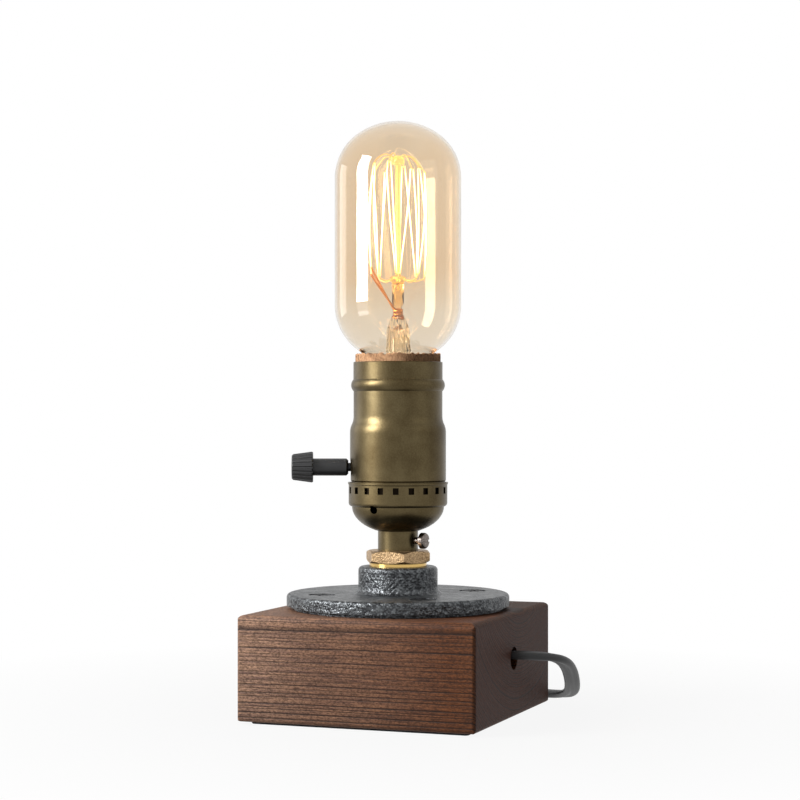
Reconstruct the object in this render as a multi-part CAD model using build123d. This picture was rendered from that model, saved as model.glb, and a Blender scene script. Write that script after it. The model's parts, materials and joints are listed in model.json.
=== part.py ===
from build123d import *
import math
import os

# Industrial table lamp: a wooden block, an iron pipe flange, a brass turn-knob socket and a filament bulb.
# Millimetres. The origin is the middle of the underside, +Z is up, +X is the face that the cord leaves.

# Wooden base
base_side = 86.0
base_height = 36.5
base_corner = 1.2
base_top_edge = 2.2
base_foot_edge = 1.4
pad_thickness = 1.0
pad_inset = 3.5
pocket_radius = 25.0
pocket_depth = 27.5
centre_hole = 7.0
cord_hole = 4.0
cord_hole_height = 20.5

# Floor flange and its wood screws
flange_radius = 39.4
flange_rim = 5.5
rim_gap = 1.3
rim_undercut = 2.4
hub_radius = 14.05
hub_height = 9.5
flange_bore = 10.25
screw_circle = 28.0
screw_count = 4
screw_turn = 38.0
screw_head = 4.6
screw_shank = 1.9
screw_depth = 10.0
screw_sink = 0.5

# Brass bushing and threaded nipple
bushing_thread = 10.2
bushing_depth = 9.5
bushing_collar = 1.4
hex_corner = 12.0
hex_height = 4.2
nipple_radius = 5.0
nipple_bore = 3.6
nipple_depth = 12.0
fit_gap = 0.05

# Socket, whose heights are counted from the top of the hexagon
socket_turn = 21.3
sheet = 0.6
neck_radius = 7.1
nipple_reach = 8.4
dome_radius = 16.3
dome_depth = 9.7
dome_level = 15.6
band_radius = 17.48
band_level = 16.9
cap_rim = 24.1
lip = 0.22
shelf_level = 16.6
window_count = 20
window_width = 2.0
window_height = 2.3
window_level = 21.4
window_phase = -93.5
dimple_angle = 237.5
dimple_level = 14.9
dimple_radius = 1.45
set_screw_angle = -30.0
set_screw_level = 3.6
set_screw_radius = 1.2
set_screw_head = 2.85
set_screw_reach = 11.5

shell_wall = 0.5
skirt_radius = 16.7
skirt_start = 17.6
lower_shell = 17.0
upper_shell = 15.74
top_shell = 15.8
shoulder_start = 41.8
shoulder_end = 47.4
bead_start = 56.3
bead_middle = 58.35
bead_end = 60.5
bead_radius = 16.62
shell_top = 66.66
slot_half = 3.0
liner_radius = 15.1
liner_wall = 0.8
liner_start = 25.9
liner_top = 69.85

insulator_radius = 13.9
insulator_flange = 16.6
insulator_flange_height = 0.9
insulator_top = 39.4
terminal_level = 21.5
terminal_flat = 12.6
terminal_head = 2.5
terminal_shank = 1.5
screw_shell_radius = 13.95
screw_shell_wall = 0.5
screw_shell_top = 64.4
screw_shell_mouth = 8.0
rivet_circle = 10.9
contact_rivet = 6.0

# Turn switch and knob, along an axis that points away from the socket
knob_level = 29.45
shaft_radius = 1.5
shaft_inner = -4.0
shaft_outer = 28.0
rotor_side = 8.0
rotor_corner = 1.5
rotor_start = -1.2
rotor_end = 4.0
rotor_room = 5.6
knob_start = 17.6
stem_radius = 3.05
head_start = 30.1
head_radius = 5.5
head_end_radius = 4.6
knob_end = 37.6
flute_count = 20
flute_radius = 0.5

# Filament bulb, whose heights are counted from the tip of its cap
bulb_tip = 41.9
bulb_length = 110.0
glass_radius = 22.4
glass_wall = 0.8
lower_curve = 20.0
lower_level = 45.0
shoulder_curve = 19.0
crown_curve = 25.0
neck_glass = 11.4
neck_glass_start = 17.0
neck_glass_end = 25.6
lower_curve_angle = 58.3
cap_core = 12.25
cap_wall = 0.5
thread_pitch = 3.629
thread_height = 0.8
thread_base = 2.0
thread_crest = 0.9
thread_turns = 3.5
shell_thread_height = 0.75
shell_thread_base = 1.3
shell_thread_crest = 0.6
shell_thread_turns = 4.0
hook_count = 8
hook_wire = 0.2
cage_radius = 9.5
upper_hook_level = 95.4
lower_hook_level = 55.6
filament_wire = 0.15
lead_wire = 0.25

# Flat twin cord, its coil and its plug
cord_width = 5.6
cord_thick = 2.8
cord_level = 22.7
riser_radius = 14.0
core_wire = 1.1
cord_route = [
    (43.0, 0.0, 22.7),
    (49.5, 0.0, 22.7),
    (55.0, 3.6, 22.2),
    (57.8, 9.8, 20.4),
    (57.6, 19.0, 16.4),
    (55.4, 31.0, 10.0),
    (51.6, 43.0, 4.6),
    (43.6, 54.0, 2.2),
    (29.0, 59.0, 2.0),
    (5.0, 52.3, 2.0),
    (-16.4, 52.3, 2.0),
]
coil_centre = (-22.0, 87.5)
coil_outer = 35.2
coil_pitch = 6.2
coil_level = 2.0
coil_layer_half_turns = 4
coil_half_turns = 17
layer_step = 3.4
tail_run = 20.0
tail_curve = 20.0
tie_wall = 0.5
tie_width = 5.0
plug_thick = 12.0
plug_wide = 25.0
plug_long = 24.0
relief_long = 20.0
blade_long = 16.0
blade_wide = 6.35
blade_thick = 1.5
blade_gap = 12.7
clamp_start = 14.6
clamp_long = 8.0
clamp_half = 9.0
clamp_screw_offset = 6.0
clamp_screw = 1.4

# Levels that follow from the sizes above
block_top = pad_thickness + base_height
pocket_top = pad_thickness + pocket_depth
flange_top = block_top + flange_rim
hub_top = flange_top + hub_height
hex_bottom = hub_top + bushing_collar
seat = hex_bottom + hex_height
knob_z = seat + knob_level
tip_z = seat + bulb_tip
crown_z = tip_z + bulb_length
nipple_top = seat + nipple_reach
cord_top = nipple_top + 1.0


def lathe(outline):
    # Turns a closed outline of radius and height about the upright axis.
    return revolve(Plane.XZ * make_face(outline), Axis.Z)


def tube(outer, inner, bottom, top):
    return lathe(Polyline((inner, bottom), (outer, bottom), (outer, top), (inner, top), close=True))


def rod(radius, bottom, top):
    return Pos(0, 0, bottom) * Cylinder(radius, top - bottom, align=(Align.CENTER, Align.CENTER, Align.MIN))


def outward(angle, level, shape):
    # Lays a shape that was made along +Z so that it points away from the axis at that angle and level.
    return Pos(0, 0, level) * Rot(0, 0, angle) * Rot(0, 90, 0) * shape


def around(count, shape, first=0.0):
    return [Rot(0, 0, first + 360.0 * k / count) * shape for k in range(count)]


def wire_along(points, radius, bend):
    path = FilletPolyline(*points, radius=bend)
    section = Plane(origin=path @ 0, z_dir=path % 0) * Circle(radius)
    return sweep(section, path)


def felt_pad():
    side = base_side - 2 * pad_inset
    return extrude(RectangleRounded(side, side, base_corner), pad_thickness)


def wood_base():
    # Crisp upright edges, and softer ones along the top and the foot.
    side_view = Rectangle(base_side, base_height)
    side_view = fillet(side_view.vertices().group_by(Axis.Y)[-1], base_top_edge)
    side_view = fillet(side_view.vertices().group_by(Axis.Y)[0], base_foot_edge)
    side_view = Plane.XZ * Pos(0, pad_thickness + base_height / 2) * side_view
    block = extrude(RectangleRounded(base_side, base_side, base_corner), base_height + pad_thickness)
    for turn in (0, 90):
        block &= Rot(0, 0, turn) * extrude(side_view, base_side, both=True)
    block -= rod(pocket_radius, pad_thickness, pocket_top)
    block -= rod(centre_hole, pad_thickness, block_top)
    block -= outward(0, pad_thickness + cord_hole_height, rod(cord_hole, pocket_radius / 2, base_side / 2))
    pilot = Pos(screw_circle, 0, 0) * rod(screw_shank + fit_gap, block_top - screw_depth, block_top)
    block -= around(screw_count, pilot, screw_turn)
    for side in (-1, 1):
        hole = rod(clamp_screw + fit_gap, pocket_top, pocket_top + 6)
        block -= Pos(clamp_start + clamp_long / 2, side * clamp_screw_offset, 0) * hole
    return block


def floor_flange():
    body = lathe(
        Polyline(
            (flange_bore, block_top),
            (flange_radius - rim_undercut, block_top),
            (flange_radius - rim_undercut, block_top + rim_gap),
            (flange_radius, block_top + rim_gap),
            (flange_radius, flange_top),
            (hub_radius, flange_top),
            (hub_radius, hub_top),
            (flange_bore, hub_top),
            close=True,
        )
    )
    circles = body.edges().filter_by(GeomType.CIRCLE)
    rim = circles.filter_by(lambda e: e.radius > flange_radius - 1)
    body = fillet(rim.sort_by(Axis.Z)[-1], 1.3)
    circles = body.edges().filter_by(GeomType.CIRCLE)
    hub = circles.filter_by(lambda e: abs(e.radius - hub_radius) < 0.1)
    body = fillet(hub.sort_by(Axis.Z)[0], 2.4)
    circles = body.edges().filter_by(GeomType.CIRCLE)
    hub = circles.filter_by(lambda e: abs(e.radius - hub_radius) < 0.1)
    body = fillet(hub.sort_by(Axis.Z)[-1], 1.4)
    hole = screw_shank + 0.4
    sink = screw_head + 0.15
    sink_top = flange_top - screw_sink
    seat_cut = lathe(
        Polyline(
            (0, block_top),
            (hole, block_top),
            (hole, sink_top - sink + hole),
            (sink, sink_top),
            (sink, flange_top + 1),
            (0, flange_top + 1),
            close=True,
        )
    )
    return body - around(screw_count, Pos(screw_circle, 0, 0) * seat_cut, screw_turn)


def flange_screws():
    head_top = flange_top - screw_sink
    screw = lathe(
        Polyline(
            (0, block_top - screw_depth + 0.3),
            (screw_shank, block_top - screw_depth + 3),
            (screw_shank, head_top - screw_head + screw_shank),
            (screw_head, head_top),
            (screw_head - 0.5, head_top + 0.3),
            (0, head_top + 0.5),
            close=True,
        )
    )
    for turn in (0, 90):
        screw -= Pos(0, 0, head_top + 0.5) * Rot(0, 0, 45 + turn) * Box(5.2, 1.0, 2.8)
    return Compound(children=around(screw_count, Pos(screw_circle, 0, 0) * screw, screw_turn))


def hex_bushing():
    flats = hex_corner * math.cos(math.radians(30))
    body = Pos(0, 0, hex_bottom) * extrude(RegularPolygon(hex_corner, 6), hex_height)
    body &= lathe(
        Polyline(
            (0, hex_bottom),
            (flats, hex_bottom),
            (hex_corner, hex_bottom + 0.8),
            (hex_corner, seat - 0.8),
            (flats, seat),
            (0, seat),
            close=True,
        )
    )
    body += rod(bushing_thread, hub_top - bushing_depth, hex_bottom)
    body -= rod(nipple_radius + fit_gap, hub_top - bushing_depth, seat)
    return body


def threaded_nipple():
    return tube(nipple_radius, nipple_bore, seat - nipple_depth, nipple_top)


def ellipse_arc(radius, depth, inner_radius):
    # A quarter of the dome, from the given radius out to its widest level.
    start = -math.degrees(math.acos(inner_radius / radius))
    return EllipticalCenterArc((0, seat + dome_level), radius, depth, start_angle=start, arc_size=-start)


def socket_cap():
    bore = nipple_radius + fit_gap
    outer_dome = ellipse_arc(dome_radius, dome_depth, neck_radius)
    inner_dome = ellipse_arc(dome_radius - sheet, dome_depth - sheet, bore)
    step = EllipticalCenterArc(
        (dome_radius, seat + band_level),
        band_radius - dome_radius,
        band_level - dome_level,
        start_angle=-90,
        arc_size=90,
    )
    inner_band = band_radius - sheet
    outline = Polyline(inner_dome @ 0, (bore, seat), (neck_radius, seat), outer_dome @ 0)
    outline += outer_dome + step
    outline += Polyline(
        step @ 1,
        (band_radius, seat + cap_rim - 0.9),
        (band_radius + lip, seat + cap_rim - 0.6),
        (band_radius + lip, seat + cap_rim),
        (inner_band, seat + cap_rim),
        (inner_band, seat + shelf_level),
        (dome_radius - sheet, seat + shelf_level),
        inner_dome @ 1,
    )
    outline += inner_dome
    body = lathe(outline)
    window = Pos(band_radius, 0, seat + window_level) * Box(3 * sheet, window_width, window_height)
    body -= around(window_count, window, window_phase)
    body -= outward(set_screw_angle, seat + set_screw_level, rod(set_screw_radius + fit_gap, 0, 9))
    body -= outward(dimple_angle, seat + dimple_level, rod(dimple_radius, 10, 20))
    return body


def cap_set_screw():
    head_start = set_screw_reach - 2.0
    screw = rod(set_screw_radius, nipple_radius + fit_gap, head_start)
    head = fillet(rod(set_screw_head, head_start, set_screw_reach).edges().sort_by(Axis.Z)[-1], 0.9)
    slot = Pos(0, 0, set_screw_reach) * Box(0.8, 3 * set_screw_head, 1.6)
    return outward(set_screw_angle, seat + set_screw_level, screw + (head - slot))


def shoulder(offset):
    # Two arcs that carry the wide lower wall smoothly into the narrower upper one.
    low = (lower_shell - offset, seat + shoulder_start)
    high = (upper_shell - offset, seat + shoulder_end)
    middle = ((low[0] + high[0]) / 2, (low[1] + high[1]) / 2)
    return TangentArc(low, middle, tangent=(0, 1)) + TangentArc(high, middle, tangent=(0, -1))


def bead(offset, ease):
    return ThreePointArc(
        (upper_shell - offset, seat + bead_start + ease),
        (bead_radius - offset, seat + bead_middle),
        (top_shell - offset, seat + bead_end - ease),
    )


def socket_shell():
    skirt_inner = skirt_radius - shell_wall
    lower_inner = lower_shell - shell_wall
    outer_shoulder, inner_shoulder = shoulder(0), shoulder(shell_wall)
    outer_bead, inner_bead = bead(0, 0), bead(shell_wall, 0.2)
    outline = Polyline(
        (lower_inner, seat + shoulder_start),
        (lower_inner, seat + cap_rim + 0.9),
        (skirt_inner, seat + cap_rim + 0.4),
        (skirt_inner, seat + skirt_start),
        (skirt_radius, seat + skirt_start),
        (skirt_radius, seat + cap_rim + 0.3),
        (lower_shell, seat + cap_rim + 0.8),
        (lower_shell, seat + shoulder_start),
    )
    outline += outer_shoulder + Line((upper_shell, seat + shoulder_end), outer_bead @ 0) + outer_bead
    outline += Polyline(
        outer_bead @ 1,
        (top_shell, seat + shell_top - 0.2),
        (top_shell - 0.2, seat + shell_top),
        (top_shell - shell_wall, seat + shell_top),
        inner_bead @ 1,
    )
    inner_line = Line(inner_bead @ 0, (upper_shell - shell_wall, seat + shoulder_end))
    outline += inner_bead + inner_line + inner_shoulder
    return lathe(outline) - shaft_slot(slot_half, skirt_start)


def shaft_slot(half, start):
    # The slot that lets the knob's shaft out to the side, open at the bottom.
    length = 2 * lower_shell
    opening = Pos(-length / 2, 0, (seat + start + knob_z) / 2) * Box(length, 2 * half, knob_level - start)
    return opening + outward(180, knob_z, rod(half, 0, length))


def insulating_liner():
    body = tube(liner_radius, liner_radius - liner_wall, seat + liner_start, seat + liner_top)
    return body - shaft_slot(slot_half - 0.4, liner_start)


def socket_insulator():
    flange_level = seat + shelf_level
    body = rod(insulator_radius, flange_level, seat + insulator_top)
    body += rod(insulator_flange, flange_level, flange_level + insulator_flange_height)
    terminal_top = terminal_level + terminal_head + 0.8
    for side in (-1, 1):
        depth = insulator_flange - terminal_flat + 1
        notch = Box(7.4, depth, terminal_top - shelf_level)
        body -= Pos(0, side * (terminal_flat + depth / 2), seat + (shelf_level + terminal_top) / 2) * notch
        body -= outward(side * 90, seat + terminal_level, rod(terminal_shank + fit_gap, 5.8, terminal_flat))
        body -= Pos(0, side * rivet_circle, 0) * rod(1.05, seat + insulator_top - 4.2, seat + insulator_top)
    body -= Pos(contact_rivet, 0, 0) * rod(0.85, seat + insulator_top - 3.2, seat + insulator_top)
    room = outward(180, knob_z, rod(rotor_room, rotor_start - 0.5, rotor_end + 0.5))
    drop = Box(rotor_end - rotor_start + 1, 2 * rotor_room, knob_level - shelf_level)
    room += Pos(-(rotor_start + rotor_end) / 2, 0, (knob_z + flange_level) / 2) * drop
    body -= room
    return body - outward(180, knob_z, rod(shaft_radius + fit_gap, shaft_inner - 0.3, insulator_radius + 1))


def ridge(wall, height, base, crest, start, turns):
    # A trapezium wound along the wall: outward for a positive height, inward for a negative one.
    path = Helix(thread_pitch, turns * thread_pitch, wall, center=(0, 0, start))
    root = -math.copysign(0.25, height)
    profile = make_face(
        Polyline((root, -base / 2), (height, -crest / 2), (height, crest / 2), (root, base / 2), close=True)
    )
    return sweep(Plane(origin=path @ 0, x_dir=(1, 0, 0), z_dir=path % 0) * profile, path, is_frenet=True)


def screw_shell():
    bottom = seat + insulator_top
    inner = screw_shell_radius - screw_shell_wall
    body = lathe(
        Polyline(
            (screw_shell_mouth, bottom),
            (screw_shell_radius, bottom),
            (screw_shell_radius, seat + screw_shell_top),
            (inner, seat + screw_shell_top),
            (inner, bottom + screw_shell_wall),
            (screw_shell_mouth, bottom + screw_shell_wall),
            close=True,
        )
    )
    start = tip_z + 7.0 - thread_pitch / 2
    body += ridge(
        inner, -shell_thread_height, shell_thread_base, shell_thread_crest, start, shell_thread_turns
    )
    for side in (-1, 1):
        body -= Pos(0, side * rivet_circle, 0) * rod(1.05, bottom, bottom + 1)
    return body


def centre_contact():
    bottom = seat + insulator_top
    top = tip_z - 0.12
    strip = Polyline(
        (7.6, bottom),
        (2.8, bottom),
        (-3.0, top - 0.45),
        (-3.0, top),
        (2.9, bottom + 0.43),
        (7.6, bottom + 0.43),
        close=True,
    )
    body = extrude(Plane.XZ * make_face(strip), 2.2, both=True)
    return body - Pos(contact_rivet, 0, 0) * rod(0.85, bottom, bottom + 1)


def socket_rivets():
    bottom = seat + insulator_top
    rivets = []
    for side in (-1, 1):
        rivet = rod(1.0, bottom - 4, bottom + screw_shell_wall)
        rivet += fillet(rod(1.7, bottom + screw_shell_wall, bottom + 1.3).edges().sort_by(Axis.Z)[-1], 0.5)
        rivets.append(Pos(0, side * rivet_circle, 0) * rivet)
    small = rod(0.8, bottom - 3, bottom + 0.43)
    small += fillet(rod(1.3, bottom + 0.43, bottom + 1.0).edges().sort_by(Axis.Z)[-1], 0.35)
    rivets.append(Pos(contact_rivet, 0, 0) * small)
    return Compound(children=rivets)


def terminal_screws():
    screw = rod(terminal_shank, 6, terminal_flat)
    head = fillet(rod(terminal_head, terminal_flat, terminal_flat + 1.7).edges().sort_by(Axis.Z)[-1], 0.5)
    head -= Pos(0, 0, terminal_flat + 1.7) * Box(0.8, 3 * terminal_head, 1.4)
    return Compound(children=[outward(side * 90, seat + terminal_level, screw + head) for side in (-1, 1)])


def switch_contact():
    # A sprung strip under the rotor, with two legs against the walls of the rotor's room.
    top = knob_z - rotor_room + 0.15
    middle = -(rotor_start + rotor_end) / 2
    strip = Pos(middle, 0, top - 0.2) * Box(3.6, 2 * rotor_room, 0.4)
    for side in (-1, 1):
        strip += Pos(middle, side * (rotor_room - 0.2), top - 2) * Box(3.6, 0.4, 4)
    return strip


def switch_rotor():
    cam = Pos(0, 0, rotor_start) * extrude(
        RectangleRounded(rotor_side, rotor_side, rotor_corner), rotor_end - rotor_start
    )
    return outward(180, knob_z, cam - rod(shaft_radius + fit_gap / 2, rotor_start, rotor_end))


def switch_shaft():
    shaft = rod(shaft_radius, shaft_inner, shaft_outer)
    return outward(180, knob_z, chamfer(shaft.edges().sort_by(Axis.Z)[-1], 0.4))


def knob():
    bore = shaft_radius + fit_gap / 2
    body = lathe(
        Polyline(
            (bore, knob_start),
            (stem_radius - 0.7, knob_start),
            (stem_radius, knob_start + 0.7),
            (stem_radius, head_start),
            (head_radius - 0.3, head_start),
            (head_radius, head_start + 0.35),
            (head_end_radius, knob_end - 0.5),
            (head_end_radius - 0.5, knob_end),
            (0, knob_end),
            (0, shaft_outer + 0.2),
            (bore, shaft_outer + 0.2),
            close=True,
        )
    )
    lean = math.degrees(math.atan2(head_radius - head_end_radius, knob_end - head_start))
    middle = (head_radius + head_end_radius) / 2
    flute = Pos(middle + 0.15, 0, (head_start + knob_end) / 2) * Rot(0, -lean, 0) * Cylinder(flute_radius, 12)
    return outward(180, knob_z, body - around(flute_count, flute))


def glass_outline(inset):
    # The upright half outline of the bulb, from its neck to its crown, at a depth inside the outer face.
    wall = glass_radius - inset
    low = CenterArc(
        (glass_radius - lower_curve, tip_z + lower_level),
        lower_curve - inset,
        -lower_curve_angle,
        lower_curve_angle,
    )
    crown_centre = crown_z - crown_curve
    side_centre = glass_radius - shoulder_curve
    rise = math.sqrt((crown_curve - shoulder_curve) ** 2 - side_centre**2)
    joint = math.degrees(math.atan2(rise, side_centre))
    side = CenterArc((side_centre, crown_centre + rise), shoulder_curve - inset, 0, joint)
    crown = CenterArc((0, crown_centre), crown_curve - inset, joint, 90 - joint)
    neck = Line((neck_glass - inset, tip_z + neck_glass_start), (neck_glass - inset, tip_z + neck_glass_end))
    flare = TangentArc(neck @ 1, low @ 0, tangent=(0, 1))
    straight = Line((wall, tip_z + lower_level), (wall, crown_centre + rise))
    return neck + flare + low + straight + side + crown


def glass_envelope():
    bottom = tip_z + neck_glass_start
    foot = Line((neck_glass - glass_wall, bottom), (neck_glass, bottom))
    top = Line((0, crown_z - glass_wall), (0, crown_z))
    return lathe(glass_outline(0) + glass_outline(glass_wall) + foot + top)


def glass_stem():
    foot = tip_z + neck_glass_start + 1
    flare_outer = ThreePointArc((10.5, foot), (6.2, tip_z + 24), (4.2, tip_z + 31))
    flare_inner = ThreePointArc((9.7, foot), (5.4, tip_z + 24), (3.4, tip_z + 31))
    top = tip_z + upper_hook_level + 3.2
    outline = flare_outer + Polyline(
        flare_outer @ 1,
        (4.2, tip_z + 36),
        (3.0, tip_z + 39.5),
        (1.5, tip_z + 42),
        (1.3, tip_z + 44.2),
        (2.1, tip_z + 45.6),
        (2.1, tip_z + 52.9),
        (2.8, tip_z + 53.4),
        (2.8, tip_z + 54.8),
        (1.0, tip_z + 55.6),
        (1.0, top - 2.0),
        (2.3, top - 1.4),
        (2.3, top + 0.4),
        (1.2, top + 1.4),
        (0, top + 1.6),
        (0, tip_z + 38),
        (3.4, tip_z + 35.5),
        flare_inner @ 1,
    )
    outline += flare_inner + Line(flare_inner @ 0, flare_outer @ 0)
    return lathe(outline)


def hooks(points, count, first):
    wire = wire_along([(r, 0, tip_z + z) for r, z in points], hook_wire, 0.7)
    return Compound(children=around(count, wire, first))


def upper_hooks():
    level = upper_hook_level
    reach = cage_radius - 0.15
    points = [(1.7, level + 2.8), (6.2, level + 3.1), (reach, level + 1.6), (reach, level)]
    return hooks(points, hook_count, 180 + 180.0 / hook_count)


def lower_hooks():
    level = lower_hook_level
    reach = cage_radius - 0.15
    points = [(2.3, level - 1.5), (6.2, level - 2.4), (reach, level - 1.4), (reach, level)]
    ring = hooks(points, hook_count, 180)
    return Compound(children=list(ring.solids())[1:])


def cage_point(angle, level):
    turn = math.radians(angle)
    return (cage_radius * math.cos(turn), cage_radius * math.sin(turn), tip_z + level)


def filament():
    # One wire that runs up and down between the hooks, with a small turn of its own at each.
    step = 180.0 / hook_count
    half_turn = 3.2
    points = [cage_point(180 + half_turn, lower_hook_level + 0.9)]
    for k in range(1, 2 * hook_count):
        level = upper_hook_level - 0.1 if k % 2 else lower_hook_level + 0.1
        points += [cage_point(180 + k * step + side * half_turn, level) for side in (-1, 1)]
    points.append(cage_point(180 - half_turn, lower_hook_level + 0.9))
    return wire_along(points, filament_wire, 0.4)


def bulb_leads():
    leads = []
    for side in (-1, 1):
        start = Vector(-1.0, side * 0.5, tip_z + 42.5)
        end = Vector(*cage_point(180 - side * 3.2, lower_hook_level + 0.6))
        end -= (end - start).normalized() * 0.2
        path = Line(start, end)
        leads.append(sweep(Plane(origin=start, z_dir=path % 0) * Circle(lead_wire), path))
    return Compound(children=leads)


def bulb_cap():
    inner = cap_core - cap_wall
    body = lathe(
        Polyline(
            (9.8, tip_z + 4.0),
            (11.9, tip_z + 5.0),
            (cap_core, tip_z + 5.6),
            (cap_core, tip_z + 21.5),
            (cap_core + 0.6, tip_z + 23.0),
            (cap_core + 0.85, tip_z + 26.0),
            (cap_core + 0.35, tip_z + 26.0),
            (cap_core + 0.1, tip_z + 23.3),
            (inner, tip_z + 21.8),
            (inner, tip_z + 5.9),
            (9.8, tip_z + 4.6),
            close=True,
        )
    )
    return body + ridge(cap_core, thread_height, thread_base, thread_crest, tip_z + 7.0, thread_turns)


def cap_insulator():
    return lathe(
        Polyline(
            (4.35, tip_z + 0.9),
            (6.2, tip_z + 0.9),
            (9.75, tip_z + 4.1),
            (9.75, tip_z + 4.55),
            (9.0, tip_z + 6.2),
            (1.5, tip_z + 6.2),
            (1.5, tip_z + 2.2),
            (4.35, tip_z + 2.2),
            close=True,
        )
    )


def tip_contact():
    dome = ThreePointArc((0, tip_z), (2.2, tip_z + 0.22), (4.3, tip_z + 0.95))
    return lathe(dome + Polyline(dome @ 1, (4.3, tip_z + 2.15), (0, tip_z + 2.15), dome @ 0))


def cord_section():
    return SlotOverall(cord_width, cord_thick)


def inner_cord():
    # From the side hole through the pocket and up the nipple, broad side across the lamp.
    flat = Line((base_side / 2, cord_level), (riser_radius, cord_level))
    bend = TangentArc((riser_radius, cord_level), (0, cord_level + riser_radius), tangent=(-1, 0))
    rise = Line(bend @ 1, (0, cord_top))
    path = Plane.XZ * (flat + bend + rise)
    start = Plane(origin=(base_side / 2, 0, cord_level), x_dir=(0, 1, 0), z_dir=(-1, 0, 0))
    return sweep(start * cord_section(), path)


def terminal_wire(side):
    points = [
        (0, side * cord_thick / 2, cord_top),
        (0, side * cord_thick / 2, cord_top + 1.9),
        (0, side * 13.9, seat + 14.0),
        (0, side * 13.9, seat + terminal_level - terminal_head - 0.2),
    ]
    return wire_along(points, core_wire, 1.6)


def cord_clamp():
    # A nylon saddle under the roof of the pocket, with a slot that grips the cord.
    bottom = cord_level - cord_thick / 2 - 2.2
    middle = clamp_start + clamp_long / 2
    body = Pos(middle, 0, (bottom + pocket_top) / 2) * Box(clamp_long, 2 * clamp_half, pocket_top - bottom)
    body = fillet(body.edges().filter_by(Axis.Z), 1.5)
    slot = Plane(origin=(clamp_start - 1, 0, cord_level), x_dir=(0, 1, 0), z_dir=(1, 0, 0)) * SlotOverall(
        cord_width + 2 * fit_gap, cord_thick + 2 * fit_gap
    )
    body -= extrude(slot, clamp_long + 2)
    for side in (-1, 1):
        body -= Pos(middle, side * clamp_screw_offset, 0) * rod(clamp_screw + fit_gap, bottom, pocket_top)
    return body


def clamp_screws():
    bottom = cord_level - cord_thick / 2 - 2.2
    screw = rod(clamp_screw, bottom, pocket_top + 5.5)
    head = fillet(rod(2.6, bottom - 1.6, bottom).edges().sort_by(Axis.Z)[0], 0.6)
    head -= Pos(0, 0, bottom - 1.6) * Box(0.7, 6, 1.4)
    middle = clamp_start + clamp_long / 2
    return Compound(children=[Pos(middle, side * clamp_screw_offset, 0) * (screw + head) for side in (-1, 1)])


def route_radii(points):
    # The largest arc that each corner's two runs leave room for.
    radii = []
    corners = [Vector(*p) for p in points]
    for before, corner, after in zip(corners, corners[1:], corners[2:]):
        turn = (corner - before).get_angle(after - corner)
        shorter = min((corner - before).length, (after - corner).length)
        radii.append(0.45 * shorter / math.tan(math.radians(turn / 2)))
    return radii


def flat_sweep(path, start, heading):
    # A guide straight above the path keeps the cord's broad side level all along it.
    path = Wire(path.edges())
    section = Plane(origin=start, x_dir=(0, 1, 0), z_dir=heading) * cord_section()
    body = sweep(section, path, binormal=Pos(0, 0, 10) * path)
    share = body.volume / (cord_section().area * path.length)
    print(f"cord of {path.length:.0f} mm, volume over section times length {share:.4f}")
    return body


def cord_run():
    radii = route_radii(cord_route)
    print("cord radii", [round(r, 1) for r in radii])
    return flat_sweep(FilletPolyline(*cord_route, radius=radii), cord_route[0], (1, 0, 0))


def coil_path():
    # Half turns that spiral in and out again, climbing a layer where the spiral turns back.
    here = Vector(coil_centre[0], coil_centre[1] - coil_outer, coil_level)
    path = [Line(here + (cord_width, 0, 0), here)]
    for k in range(coil_half_turns):
        steps = coil_layer_half_turns - abs(coil_layer_half_turns - k % (2 * coil_layer_half_turns))
        radius = coil_outer - steps * coil_pitch / 2
        rise = layer_step if k and k % coil_layer_half_turns == 0 else 0
        way = 1 if k % 2 == 0 else -1
        here = half_turn(path, here, way * radius, rise, -way)
    path.append(Line(here, here + (tail_run, 0, 0)))
    here = half_turn(path, path[-1] @ 1, -tail_curve, plug_level() - here.Z, 1)
    path.append(Line(here, here - (cord_width, 0, 0)))
    return path


def half_turn(path, here, radius, rise, bulge):
    there = here + (0, 2 * radius, rise)
    half = (there - here).length / 2
    path.append(ThreePointArc(here, (here + there) / 2 + (bulge * half, 0, 0), there))
    return there


def plug_level():
    layers = (coil_half_turns - 2) // coil_layer_half_turns
    return coil_level + layers * layer_step + cord_thick / 2 + 0.3 + plug_thick / 2


def least_gap(path):
    # The nearest that the tube comes to itself, from points along its middle and its two edges.
    spots = []
    run = 0.0
    for edge in path:
        count = max(2, int(edge.length / 3))
        for k in range(count):
            place, heading = edge @ (k / count), edge % (k / count)
            across = Vector(-heading.Y, heading.X, 0).normalized() * (cord_width - cord_thick) / 2
            spots += [(run + edge.length * k / count, *(place + across * side)) for side in (-1, 0, 1)]
        run += edge.length
    nearest = math.inf
    for k, one in enumerate(spots):
        for other in spots[k + 1 :]:
            if other[0] - one[0] > 8 * cord_width:
                nearest = min(nearest, math.dist(one[1:], other[1:]))
    return nearest - cord_thick


def cord_coil():
    path = coil_path()
    print(f"least gap in the coil {least_gap(path):.2f} mm")
    return flat_sweep(Curve(children=path), path[0] @ 0, (-1, 0, 0))


def coil_tie():
    inner = coil_outer - coil_layer_half_turns * coil_pitch / 2 - cord_width / 2 - 0.5
    outer = coil_outer + cord_width / 2 + 0.5
    top = plug_level() - plug_thick / 2 + layer_step + 2 * tie_wall
    middle = Pos(coil_centre[0] - tie_width / 2, coil_centre[1] + (inner + outer) / 2, top / 2)
    frame = Plane.YZ * (
        RectangleRounded(outer - inner + 2 * tie_wall, top, 2.0)
        - RectangleRounded(outer - inner, top - 2 * tie_wall, 1.5)
    )
    return middle * extrude(frame, tie_width)


def plug_place():
    end = coil_path()[-1] @ 1
    return Pos(*end) * Rot(0, 0, 180)


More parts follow.
